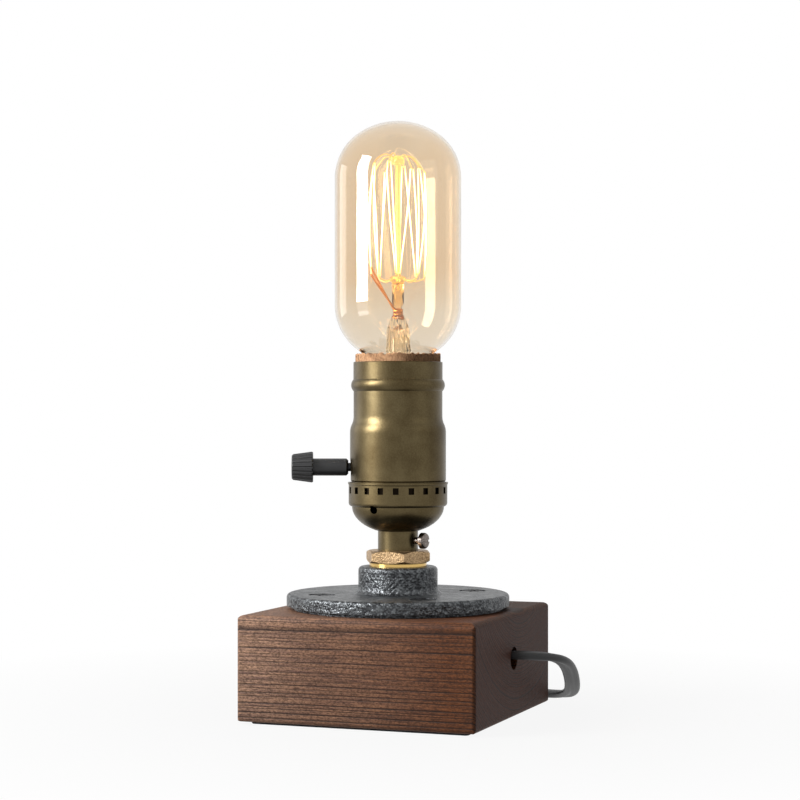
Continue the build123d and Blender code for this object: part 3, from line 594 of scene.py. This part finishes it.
def castBrass(spec):  # sand-cast and left raw: a coarse sparkling grain, smooth only on the turned collar
    material, tree, shader, place = newFinish("brassCastRaw")
    grain = {"Vector": place, "Scale": 1 / (spec["grain"] * mm), "Detail": 2.0}
    grain = addNode(tree, "ShaderNodeTexNoise", grain)
    cloud = {"Vector": place, "Scale": 1 / (spec["cloud"] * mm), "Detail": 2.0}
    cloud = addNode(tree, "ShaderNodeTexNoise", cloud)
    mottle = addNode(tree, "ShaderNodeMath", {0: cloud, 1: 0.5, 2: grain}, operation="MULTIPLY_ADD")
    tones = [(0.52, linear(spec["dark"])), (0.95, linear(spec["bright"]))]
    colour = addNode(tree, "ShaderNodeValToRGB", {"Fac": mottle}, tones)
    height = tree.nodes.new("ShaderNodeSeparateXYZ")
    addNode(tree, height, {0: place})
    top = spec["collarTop"]
    raw = {"Value": height.outputs["Z"], "From Min": (top - 0.2) * mm, "From Max": (top + 0.2) * mm}
    raw = addNode(tree, "ShaderNodeMapRange", raw)
    colour = {"Fac": raw, "Color1": linear(spec["collar"]), "Color2": colour}
    colour = addNode(tree, "ShaderNodeMixRGB", colour)
    sheen = {"Value": raw, "To Min": spec["collarRoughness"], "To Max": spec["rawRoughness"]}
    sheen = addNode(tree, "ShaderNodeMapRange", sheen)
    relief = addNode(tree, "ShaderNodeMath", {0: grain, 1: raw}, operation="MULTIPLY")
    coarse = {"Height": relief, "Strength": 0.6, "Distance": spec["relief"] * mm}
    bump = addNode(tree, "ShaderNodeBump", coarse)
    addNode(tree, shader, {"Base Color": colour, "Metallic": 1.0, "Roughness": sheen, "Normal": bump})
    return material


metals = {  # dark and bright tone, roughness, grain and relief in mm, and a painted glow that stands in for the filament's light on a wire
    "brassStamped": ("#B08A45", "#D8B868", 0.3, 0.8, 0.02, 0.0),
    "steelZincPlated": ("#8A8C8C", "#C4C6C4", 0.32, 0.7, 0.02, 0.0),
    "steelBlackened": ("#17181A", "#3A3B3D", 0.42, 0.5, 0.05, 0.0),
    "steelNickelPlated": ("#4C4542", "#8C827B", 0.28, 0.6, 0.02, 0.0),
    "aluminiumRolled": ("#A9A8A2", "#D5D4CE", 0.34, 0.9, 0.02, 0.0),
    "molybdenumWireDrawn": ("#B08A50", "#E2BE82", 0.35, 0.3, 0.01, 1.1),
    "copperWireDrawn": ("#A5652F", "#DE9A58", 0.4, 0.3, 0.01, 0.06),
}
paintedWireGlow = "#FFC27A"


def satinMetal(name, spec):  # drawn, rolled or plated metal: even, faintly mottled at its grain size
    dark, bright, roughness, size, relief, glow = spec
    material, tree, shader, place = newFinish(name)
    grain = addNode(tree, "ShaderNodeTexNoise", {"Vector": place, "Scale": 1 / (size * mm), "Detail": 3.0})
    tones = [(0.3, linear(dark)), (0.7, linear(bright))]
    colour = addNode(tree, "ShaderNodeValToRGB", {"Fac": grain}, tones)
    low, high = roughness * 0.85, roughness * 1.2
    sheen = addNode(tree, "ShaderNodeMapRange", {"Value": grain, "To Min": high, "To Max": low})
    bump = addNode(tree, "ShaderNodeBump", {"Height": grain, "Strength": 0.5, "Distance": relief * mm})
    addNode(tree, shader, {"Base Color": colour, "Metallic": 1.0, "Roughness": sheen, "Normal": bump})
    # painted light: a glow that stands in for the filament's light on the wire
    addNode(tree, shader, {"Emission Color": linear(paintedWireGlow), "Emission Strength": glow})
    return material


plastics = {  # dark and bright tone, roughness, grain and relief in mm
    "phenolicMoulded": ("#0C0C0D", "#1C1C1D", 0.42, 0.3, 0.03),
    "pvcExtruded": ("#0B0B0C", "#19191A", 0.42, 0.4, 0.02),
    "nylonMoulded": ("#26272A", "#3B3C3F", 0.5, 0.35, 0.03),
}


def mouldedPlastic(name, spec, cloudSize=6):  # a fine even grain from the tool, cloudy where handled
    dark, bright, roughness, size, relief = spec
    material, tree, shader, place = newFinish(name)
    grain = addNode(tree, "ShaderNodeTexNoise", {"Vector": place, "Scale": 1 / (size * mm), "Detail": 2.0})
    cloud = {"Vector": place, "Scale": 1 / (cloudSize * mm), "Detail": 2.0}
    cloud = addNode(tree, "ShaderNodeTexNoise", cloud)
    tones = [(0.3, linear(dark)), (0.72, linear(bright))]
    colour = addNode(tree, "ShaderNodeValToRGB", {"Fac": cloud}, tones)
    low, high = roughness * 0.85, roughness * 1.15
    sheen = addNode(tree, "ShaderNodeMapRange", {"Value": grain, "To Min": low, "To Max": high})
    bump = addNode(tree, "ShaderNodeBump", {"Height": grain, "Strength": 0.4, "Distance": relief * mm})
    addNode(tree, shader, {"Base Color": colour, "Roughness": sheen, "IOR": 1.5, "Normal": bump})
    return material


fibres = {  # dark and bright tone, fibre size along X, Y and Z in mm, relief in mm
    "kraftCardRolled": ("#55371F", "#B58B66", (0.5, 0.5, 0.9), 0.15),
    "woolFeltPressed": ("#17181A", "#34363A", (0.3, 0.9, 0.3), 0.3),
}


def mattedFibre(name, spec, cloudSize=5):  # matted fibres: speckled, no shine
    dark, bright, size, relief = spec
    material, tree, shader, place = newFinish(name)
    laid = addNode(tree, "ShaderNodeMapping", {"Vector": place, "Scale": [1 / s for s in size]})
    strand = {"Vector": laid, "Scale": 1 / mm, "Detail": 3.0, "Roughness": 0.7}
    strand = addNode(tree, "ShaderNodeTexNoise", strand)
    cloud = {"Vector": place, "Scale": 1 / (cloudSize * mm), "Detail": 2.0}
    cloud = addNode(tree, "ShaderNodeTexNoise", cloud)
    mixed = addNode(tree, "ShaderNodeMath", {0: cloud, 1: 0.6, 2: strand}, operation="MULTIPLY_ADD")
    tones = [(0.55, linear(dark)), (1.0, linear(bright))]
    colour = addNode(tree, "ShaderNodeValToRGB", {"Fac": mixed}, tones)
    bump = addNode(tree, "ShaderNodeBump", {"Height": strand, "Strength": 0.6, "Distance": relief * mm})
    addNode(tree, shader, {"Base Color": colour, "Roughness": 0.92, "IOR": 1.45, "Normal": bump})
    return material


# Tints by height in mm, an edge's deeper tint, how wide and deep the waves are, its painted glow inside the
# cage that stands in for the filament's light
glasses = {
    "sodaGlassBlownAmber": {
        "tints": [(122, "#F1EADF"), (140, "#EFE5D6"), (156, "#EDDCC5"), (200, "#EEDFCA"), (211, "#EFE4D4")],
        "edge": "#CBA375",
        "waves": 14,
        "ripple": 0.02,
        "glow": 0.0,
    },
    "leadGlassFlameWorked": {
        # painted light: the gold tints from 146 mm up, and the gold edge, stand in for the filament's light
        # on clear glass
        "tints": [(122, "#FCF7EE"), (140, "#FAEBD2"), (146, "#F4D29A"), (200, "#F2C478")],
        "edge": "#E2A95C",
        "waves": 3,
        "ripple": 0.25,
        "glow": 0.45,
    },
}
paintedCageGlow = {"low": 152, "high": 160, "tint": "#FFE0A4"}  # painted glow on the glass inside the cage, the filament's light, heights in mm


def blownGlass(name, spec, cloudSize=22):  # clear, faintly uneven, tinted by height, deeper edge on
    material, tree, shader, place = newFinish(name)
    height = tree.nodes.new("ShaderNodeSeparateXYZ")
    addNode(tree, height, {0: place})
    cloud = {"Vector": place, "Scale": 1 / (cloudSize * mm), "Detail": 2.0}
    cloud = addNode(tree, "ShaderNodeTexNoise", cloud)
    low, high = spec["tints"][0][0], spec["tints"][-1][0]
    rise = {"Value": height.outputs["Z"], "From Min": low * mm, "From Max": high * mm}
    rise = addNode(tree, "ShaderNodeMapRange", {**rise, "To Min": -0.1, "To Max": 0.9}, clamp=False)
    mixed = addNode(tree, "ShaderNodeMath", {0: cloud, 1: 0.2, 2: rise}, operation="MULTIPLY_ADD")
    stops = [((z - low) / (high - low), linear(tint)) for z, tint in spec["tints"]]
    tint = addNode(tree, "ShaderNodeValToRGB", {"Fac": mixed}, [stops[0], stops[-1]] + stops[1:-1])
    facing = tree.nodes.new("ShaderNodeLayerWeight").outputs["Facing"]
    rim = {"Value": facing, "From Min": 0.8, "From Max": 1.0, "To Max": 0.85}
    rim = addNode(tree, "ShaderNodeMapRange", rim)
    colour = {"Fac": rim, "Color1": tint, "Color2": linear(spec["edge"])}
    colour = addNode(tree, "ShaderNodeMixRGB", colour)
    ripple = {"Vector": place, "Scale": 1 / (spec["waves"] * mm), "Detail": 1.0}
    ripple = addNode(tree, "ShaderNodeTexNoise", ripple)
    wave = {"Height": ripple, "Strength": 1.0, "Distance": spec["ripple"] * mm}
    bump = addNode(tree, "ShaderNodeBump", wave)
    addNode(tree, shader, {"Base Color": colour, "Roughness": 0.0, "IOR": 1.5, "Normal": bump})
    # painted light: the glass glows inside the cage with the filament's light
    warm = {"From Min": paintedCageGlow["low"] * mm, "From Max": paintedCageGlow["high"] * mm, "To Max": spec["glow"]}
    glow = addNode(tree, "ShaderNodeMapRange", {"Value": height.outputs["Z"], **warm})
    lit = {"Emission Color": linear(paintedCageGlow["tint"]), "Emission Strength": glow}
    addNode(tree, shader, {"Transmission Weight": 1.0, **lit})
    return material


glowSpec = {
    "middle": 175.5,
    "hot": "#FFE9B8",
    "cool": "#FFC061",
    "coolSpan": (12, 21),  # mm from the middle: where it starts to cool, and coolest
    "uneven": 4,
    "strength": 5.0,
}


def glowingTungsten(spec):  # hot wire: white where it is hottest, yellow towards the hooks that cool it
    material, tree, shader, place = newFinish("tungstenWireGlowing")
    height = tree.nodes.new("ShaderNodeSeparateXYZ")
    addNode(tree, height, {0: place})
    away = {0: height.outputs["Z"], 1: spec["middle"] * mm}
    away = addNode(tree, "ShaderNodeMath", away, operation="SUBTRACT")
    away = addNode(tree, "ShaderNodeMath", {0: away}, operation="ABSOLUTE")
    uneven = {"Vector": place, "Scale": 1 / (spec["uneven"] * mm), "Detail": 2.0}
    uneven = addNode(tree, "ShaderNodeTexNoise", uneven)
    hotEnd, coolEnd = spec["coolSpan"]
    cool = {"Value": away, "From Min": hotEnd * mm, "From Max": coolEnd * mm}
    cool = addNode(tree, "ShaderNodeMapRange", cool)
    mixed = addNode(tree, "ShaderNodeMath", {0: uneven, 1: 0.3, 2: cool}, operation="MULTIPLY_ADD")
    tones = [(0.15, linear(spec["hot"])), (1.0, linear(spec["cool"]))]
    colour = addNode(tree, "ShaderNodeValToRGB", {"Fac": mixed}, tones)
    addNode(tree, shader, {"Base Color": colour, "Roughness": 0.5, "Emission Color": colour})
    addNode(tree, shader, {"Emission Strength": spec["strength"]})
    return material


finishes = {name: satinMetal(name, spec) for name, spec in metals.items()}
finishes.update({name: mouldedPlastic(name, spec) for name, spec in plastics.items()})
finishes.update({name: mattedFibre(name, spec) for name, spec in fibres.items()})
finishes.update({name: blownGlass(name, spec) for name, spec in glasses.items()})
finishes["pine"] = stainedPine(pineSpec)
finishes["iron"] = castIron(ironSpec)
finishes["antiqueBrass"] = antiquedBrass(brassSpec, "brassSpunAndAntiqued")
finishes["tuckedBrass"] = antiquedBrass(brassSpec, "brassSpunAndTuckedIn", paintedShadeBelow=82.3)
finishes["rawBrass"] = castBrass(castBrassSpec)
finishes["tungsten"] = glowingTungsten(glowSpec)

dressed = {  # CAD nodes by the finish that they get
    "pine": ["wood_base"],
    "iron": ["floor_flange"],
    "antiqueBrass": ["socket_cap"],
    "tuckedBrass": ["socket_shell"],
    "rawBrass": ["hex_bushing", "threaded_nipple"],
    "brassStamped": [
        "screw_shell", "centre_contact", "socket_rivets", "terminal_screws", "switch_contact", "tip_contact",
        "plug_blades",
    ],
    "steelZincPlated": ["clamp_screws"],
    "steelBlackened": ["flange_screws", "switch_shaft"],
    "steelNickelPlated": ["cap_set_screw"],
    "aluminiumRolled": ["bulb_cap"],
    "molybdenumWireDrawn": ["lower_hooks"],
    "phenolicMoulded": ["knob", "socket_insulator", "cap_insulator", "switch_rotor", "plug_body"],
    "pvcExtruded": ["inner_cord", "live_wire", "neutral_wire"],
    "nylonMoulded": ["cord_clamp", "coil_tie"],
}
for finish, names in dressed.items():
    for name in names:
        for slot in nodes[name].material_slots:
            slot.material = finishes[finish]
finishPiece(lampFlex, finishes["pvcExtruded"], "cord_pvc", "cord_run", "cord_coil")
print("finishes made,", len(finishes))


# Bulb: a blown tube of glass over a cage of glowing strands

bulbSpec = {
    "tip": 100,  # mm: the height of the cap's tip, which the other heights are counted from
    "length": 110,
    "radius": 22.4,
    "wall": 0.8,
    "lowerCurve": 20,
    "lowerLevel": 45,
    "lowerAngle": 58.3,
    "shoulderCurve": 19,
    "crownCurve": 25,
    "neck": 11.4,
    "neckStart": 17,
    "neckEnd": 25.6,
    "sides": 160,
    "steps": {"low": 24, "flare": 8, "wall": 12, "side": 16, "crown": 14},
}


def glassOutline(spec, inset):  # half the bulb's outline at a depth inside its outer face, from neck to crown
    tip, radius, steps = spec["tip"], spec["radius"], spec["steps"]
    lowCentre = (radius - spec["lowerCurve"], tip + spec["lowerLevel"])
    low = arcPoints(lowCentre, spec["lowerCurve"] - inset, -spec["lowerAngle"], 0, steps["low"])
    neck = spec["neck"] - inset
    gapX, gapZ = low[0][0] - neck, low[0][1] - tip - spec["neckEnd"]
    flareRadius = (gapX ** 2 + gapZ ** 2) / (2 * gapX)
    flareEnd = math.degrees(math.atan2(gapZ, gapX - flareRadius))
    flareCentre = (neck + flareRadius, tip + spec["neckEnd"])
    flare = arcPoints(flareCentre, flareRadius, 180, flareEnd, steps["flare"])[:-1]
    crownCentre = tip + spec["length"] - spec["crownCurve"]
    sideCentre = radius - spec["shoulderCurve"]
    rise = math.sqrt((spec["crownCurve"] - spec["shoulderCurve"]) ** 2 - sideCentre ** 2)
    joint = math.degrees(math.atan2(rise, sideCentre))
    shoulder = (sideCentre, crownCentre + rise)
    side = arcPoints(shoulder, spec["shoulderCurve"] - inset, 0, joint, steps["side"])
    crown = arcPoints((0, crownCentre), spec["crownCurve"] - inset, joint, 90, steps["crown"])[1:]
    crown[-1] = (0, crown[-1][1])
    wallLow, wallTop = low[-1][1], side[0][1]
    count = steps["wall"]
    wall = [(radius - inset, wallLow + (wallTop - wallLow) * k / count) for k in range(1, count)]
    return [(neck, tip + spec["neckStart"])] + flare + low + wall + side + crown


outerGlass = glassOutline(bulbSpec, 0)
innerGlass = glassOutline(bulbSpec, bulbSpec["wall"])
glassMesh = latheMesh(outerGlass + innerGlass[::-1], bulbSpec["sides"])
bulbGlass = newPiece("bulbGlass", glassMesh, "bulb", smoothAngle=60)
bulbGlass.visible_shadow = False  # light goes through clear glass
finishPiece(bulbGlass, finishes["sodaGlassBlownAmber"], "amber_glass", "glass_envelope")

stemSpec = {
    "foot": 118,
    "rim": [(9.7, 0), (10.5, 0)],  # the flare's lower edge, radius and height above the foot in mm
    "flare": [(8.6, 1.8), (7.3, 3.7), (6.2, 6), (5.2, 8.6), (4.5, 11), (4.2, 13)],
    "press": [(4.2, 15.5), (4.1, 18), (3.0, 21.5), (1.5, 24), (1.3, 26.2), (2.1, 27.6)],
    "rod": [
        (2.1, 34.9), (2.8, 35.4), (2.8, 36.8), (1.0, 37.6), (1.0, 76.4), (2.3, 77), (2.3, 78.8), (1.2, 79.8),
    ],
    "rodTop": 0.2,
    "hollowTop": [(0, 20), (3.4, 17.5)],
    "wall": 0.8,
    "folds": 9,
    "foldSpan": (3, 24),  # mm above the foot
    "foldFade": 5,
    "foldLean": 0.12,
    "foldDepth": 0.32,  # how much of its radius the pinched glass loses between its folds
    "sides": 140,
}


def stemOutline(spec):  # a hollow flare that closes in the press, then a solid rod with its two buttons
    outer = spec["rim"] + spec["flare"] + spec["press"] + spec["rod"]
    inner = [(r - spec["wall"], h) for r, h in spec["flare"][::-1]]
    outline = outer + [(0, spec["rod"][-1][1] + spec["rodTop"])] + spec["hollowTop"] + inner
    return [(r, h + spec["foot"]) for r, h in outline]


def foldGlass(spec, mesh):  # hot tongs leave folds where they pinched the glass
    low, high = spec["foldSpan"]
    for vert in mesh.verts:
        height = vert.co.z / mm - spec["foot"]
        share = max(0, min(1, (height - low) / spec["foldFade"], (high - height) / spec["foldFade"]))
        turn = math.atan2(vert.co.y, vert.co.x) * spec["folds"] + spec["foldLean"] * height
        lost = 1 - spec["foldDepth"] * share * (0.5 + 0.5 * math.sin(turn))
        vert.co.x *= lost
        vert.co.y *= lost


stemMesh = latheMesh(stemOutline(stemSpec), stemSpec["sides"])
foldGlass(stemSpec, stemMesh)
stemGlass = newPiece("stemGlass", stemMesh, "bulb", smoothAngle=60)
stemGlass.visible_shadow = False
finishPiece(stemGlass, finishes["leadGlassFlameWorked"], "stem_glass", "glass_stem")

cageSpec = {
    "hooks": 8,
    "radius": 9.5,
    "low": 155.6,
    "high": 193.2,
    "droop": 2.0,  # mm: how unevenly the upper bends hang
    "turn": 201.3,  # degrees: where the leads come in
    "twist": 9,  # degrees that the upper bends stand round from the middle of their strands
    "stray": 6,  # degrees that they stray from there
    "strayStep": 3.7,  # radians from bend to bend, so that no two stray or hang alike
    "droopStep": 2.4,
    "halfTurn": 3.2,
    "leadEnds": (157.8, 155.4),
    "strand": 0.21,  # the wound strand, mm
    "slack": 1.8,  # how far a strand bows out in its middle
    "inward": 0.3,  # the share of strands that bow in
    "lift": 0.1,
    "strandSteps": 10,
    "bendSteps": 2,
}


def cagePoint(spec, angle, height, out=0.0):
    turn = math.radians(spec["turn"] + angle)
    reach = spec["radius"] + out
    return Vector((reach * math.cos(turn), reach * math.sin(turn), height)) * mm


def upperBend(spec, k):  # the angle and the height of the k-th bend, an upper one
    angle = k * 180 / spec["hooks"] + spec["twist"] + spec["stray"] * math.sin(spec["strayStep"] * k)
    return angle, spec["high"] + spec["droop"] * math.sin(spec["droopStep"] * k)


def cageLine(spec):  # up and down between the hooks, each strand a little slack
    ends = [(spec["halfTurn"], spec["leadEnds"][0])]
    for k in range(1, 2 * spec["hooks"]):
        lower = (k * 180 / spec["hooks"], spec["low"] + spec["lift"])
        angle, level = upperBend(spec, k) if k % 2 else lower
        ends += [(angle + way * spec["halfTurn"], level) for way in (-1, 1)]
    ends.append((360 - spec["halfTurn"], spec["leadEnds"][1]))
    line = []
    for k, ((angle, height), (nextAngle, nextHeight)) in enumerate(zip(ends, ends[1:])):
        strand = k % 2 == 0
        pieces = spec["strandSteps"] if strand else spec["bendSteps"]
        slack = spec["slack"] * (noise.random() - spec["inward"]) if strand else 0
        for j in range(pieces):
            share = j / pieces
            bow = math.sin(math.pi * share) * slack
            turn, level = angle + (nextAngle - angle) * share, height + (nextHeight - height) * share
            line.append(cagePoint(spec, turn, level, bow))
    line.append(cagePoint(spec, *ends[-1]))
    return line


noise.seed_set(4)
cageStrands = wirePiece("cageStrands", [cageLine(cageSpec)], cageSpec["strand"], "bulb")
finishPiece(cageStrands, finishes["tungsten"], "filament_wire", "filament")

ribSpec = {
    "wire": 0.19,
    "hub": (0.9, 196.6),  # radius and height, mm
    "peak": (4.2, 198.9),
    "fall": (-1.2, 2.2),  # from the bend that it holds
    "loop": [(-0.1, 0.5), (0.55, -0.1), (0.1, -0.55)],
    "resolution": 8,
}


def ribLines(spec, cage):  # umbrella ribs from the stem's top, each looped under an upper bend
    lines = []
    for k in range(1, 2 * cage["hooks"], 2):
        angle, bend = upperBend(cage, k)
        far = cage["radius"]
        corners = [spec["hub"], spec["peak"]]
        corners += [(far + out, bend + up) for out, up in [spec["fall"], *spec["loop"]]]
        points = [cagePoint(cage, angle, z, r - far) for r, z in corners]
        lines.append(smoothLine(points, spec["resolution"]))
    return lines


cageRibs = wirePiece("cageRibs", ribLines(ribSpec, cageSpec), ribSpec["wire"], "bulb")
finishPiece(cageRibs, finishes["molybdenumWireDrawn"], "hook_wire", "upper_hooks")

leadSpec = {
    "wire": 0.36,
    "foot": 143.4,
    "reach": 1.5,
    "wraps": 2.5,
    "wrapHeight": 3.4,
    "leave": 25,  # degrees from the lead's own side to where it leaves the stem
    "apart": 0.4,  # mm that one wire is above and the other below
    "tail": 0.6,
    "steps": 30,
    "resolution": 4,
}


def leadLines(spec, cage):  # two copper wires wound on the stem, then straight to the first and last strand
    lines = []
    steps = spec["steps"]
    for way, top in zip((-1, 1), cage["leadEnds"]):
        end = cagePoint(cage, -way * cage["halfTurn"], top)
        wound = []
        for k in range(steps + 1):
            angle = -way * (spec["leave"] + 360 * spec["wraps"] * (1 - k / steps))
            height = spec["foot"] - spec["wrapHeight"] * (1 - k / steps) + spec["apart"] * way
            wound.append(cagePoint(cage, angle, height, spec["reach"] - cage["radius"]))
        quarter = wound[-1] + (end - wound[-1]) / 4
        tail = end + Vector((0, 0, spec["tail"] * mm))
        lines.append(smoothLine(wound + [quarter, end, tail], spec["resolution"]))
    return lines


leadWires = wirePiece("leadWires", leadLines(leadSpec, cageSpec), leadSpec["wire"], "bulb")
finishPiece(leadWires, finishes["copperWireDrawn"], "lead_wire", "bulb_leads")
print("bulb made")


# Liner: a rolled card sleeve with a torn upper edge, slotted where the switch shaft passes

linerSpec = {
    "outer": 15.1,
    "wall": 0.8,
    "bottom": 84.0,
    "top": 127.95,
    "rag": 0.6,  # mm: how uneven the upper edge is
    "tears": [(900, 1.0), (2600, 0.6)],  # how fine each tear is, per metre, and its share
    "sink": 0.8,  # how far the torn edge stays below the top, in rags
    "tornFrom": 0.5,  # mm below the top, as the rounding of the edge is
    "edge": (0.9, 0.25),
    "lip": 0.2,
    "middleLevels": (100, 120),
    "slotHalf": 2.6,
    "slotTop": 87.55,
    "slotSteps": 16,
    "knifeDrop": 2,
    "knifeReach": (5, 20),  # mm from the axis
    "turn": 201.3,  # degrees: where the shaft passes
    "sides": 180,
}


def slotKnife(spec):  # a round-topped bar that stands through the wall where the shaft passes
    mesh = bmesh.new()
    half, low = spec["slotHalf"], spec["bottom"] - spec["knifeDrop"]
    arch = arcPoints((0, spec["slotTop"]), half, 180, 0, spec["slotSteps"])
    edge = [(-half, low)] + arch + [(half, low)]
    spin = Matrix.Rotation(math.radians(spec["turn"]), 4, "Z")
    reach = spec["knifeReach"]
    ends = [[mesh.verts.new(spin @ (Vector((x, y, z)) * mm)) for y, z in edge] for x in reach]
    bridge(mesh, *ends)
    for ring in ends:
        mesh.faces.new(ring)
    return newPiece("slotKnife", mesh, "lamp")


def makeLiner(spec):
    outside, inside = spec["outer"], spec["outer"] - spec["wall"]
    top, lip = spec["top"], spec["lip"]
    levels = [spec["bottom"], *spec["middleLevels"], *[top - down for down in spec["edge"]]]
    outline = [(outside, z) for z in levels] + [(outside - lip, top), (inside + lip, top)]
    mesh = latheMesh(outline + [(inside, z) for z in levels[::-1]], spec["sides"])
    for vert in mesh.verts:
        if vert.co.z > (top - spec["tornFrom"]) * mm:
            torn = sum(share * noise.noise(vert.co * fine) for fine, share in spec["tears"])
            vert.co.z += (torn - spec["sink"]) * spec["rag"] * mm
    liner = newPiece("kraftLiner", mesh, "lamp", smoothAngle=50)
    knife = slotKnife(spec)
    cut = liner.modifiers.new("slot", "BOOLEAN")
    cut.object = knife
    cut.solver = "EXACT"
    bpy.context.view_layer.update()
    slotted = bpy.data.meshes.new_from_object(liner.evaluated_get(bpy.context.evaluated_depsgraph_get()))
    liner.modifiers.clear()
    liner.data = slotted
    bpy.data.objects.remove(knife)
    return liner


kraftLiner = makeLiner(linerSpec)
finishPiece(kraftLiner, finishes["kraftCardRolled"], "kraft_liner", "insulating_liner")
print("liner made")


# Felt: a pressed pad under the block, its cut edge a little hairy

feltSpec = {
    "side": 79,
    "thick": 1.0,
    "corner": 1.2,
    "layers": [(0, 0.3), (0.25, 0.08), (0.75, 0.05), (1, 0.2)],  # share of the thickness, inset in mm
    "hair": 0.12,
    "hairScale": 1.7,
    "layerShift": 3,
    "perCorner": 6,
    "perSide": 60,
}


def makeFelt(spec):
    half, corner, count = spec["side"] / 2, spec["corner"], spec["perSide"]
    outline = []
    for k in range(4):
        spin = Matrix.Rotation(math.radians(90 * k), 2)
        bend = arcPoints((half - corner, half - corner), corner, 0, 90, spec["perCorner"])
        run = [((half - corner) * (1 - 2 * j / count), half) for j in range(1, count)]
        outline += [spin @ Vector(p) for p in bend + run]
    mesh = bmesh.new()
    rings = []
    for height, inset in spec["layers"]:
        ring = []
        for point in outline:
            where = Vector((*point, height * spec["layerShift"])) * spec["hairScale"]
            hair = noise.noise(where) * spec["hair"] + spec["hair"]
            shrunk = point * (1 - (inset + hair) / half)
            ring.append(mesh.verts.new(Vector((*shrunk, height * spec["thick"])) * mm))
        rings.append(ring)
    for one, other in zip(rings, rings[1:]):
        bridge(mesh, one, other)
    mesh.faces.new(rings[0])
    mesh.faces.new(rings[-1])
    return newPiece("feltPad", mesh, "lamp", smoothAngle=50)


feltPad = makeFelt(feltSpec)
finishPiece(feltPad, finishes["woolFeltPressed"], "felt", "felt_pad")
print("felt made")
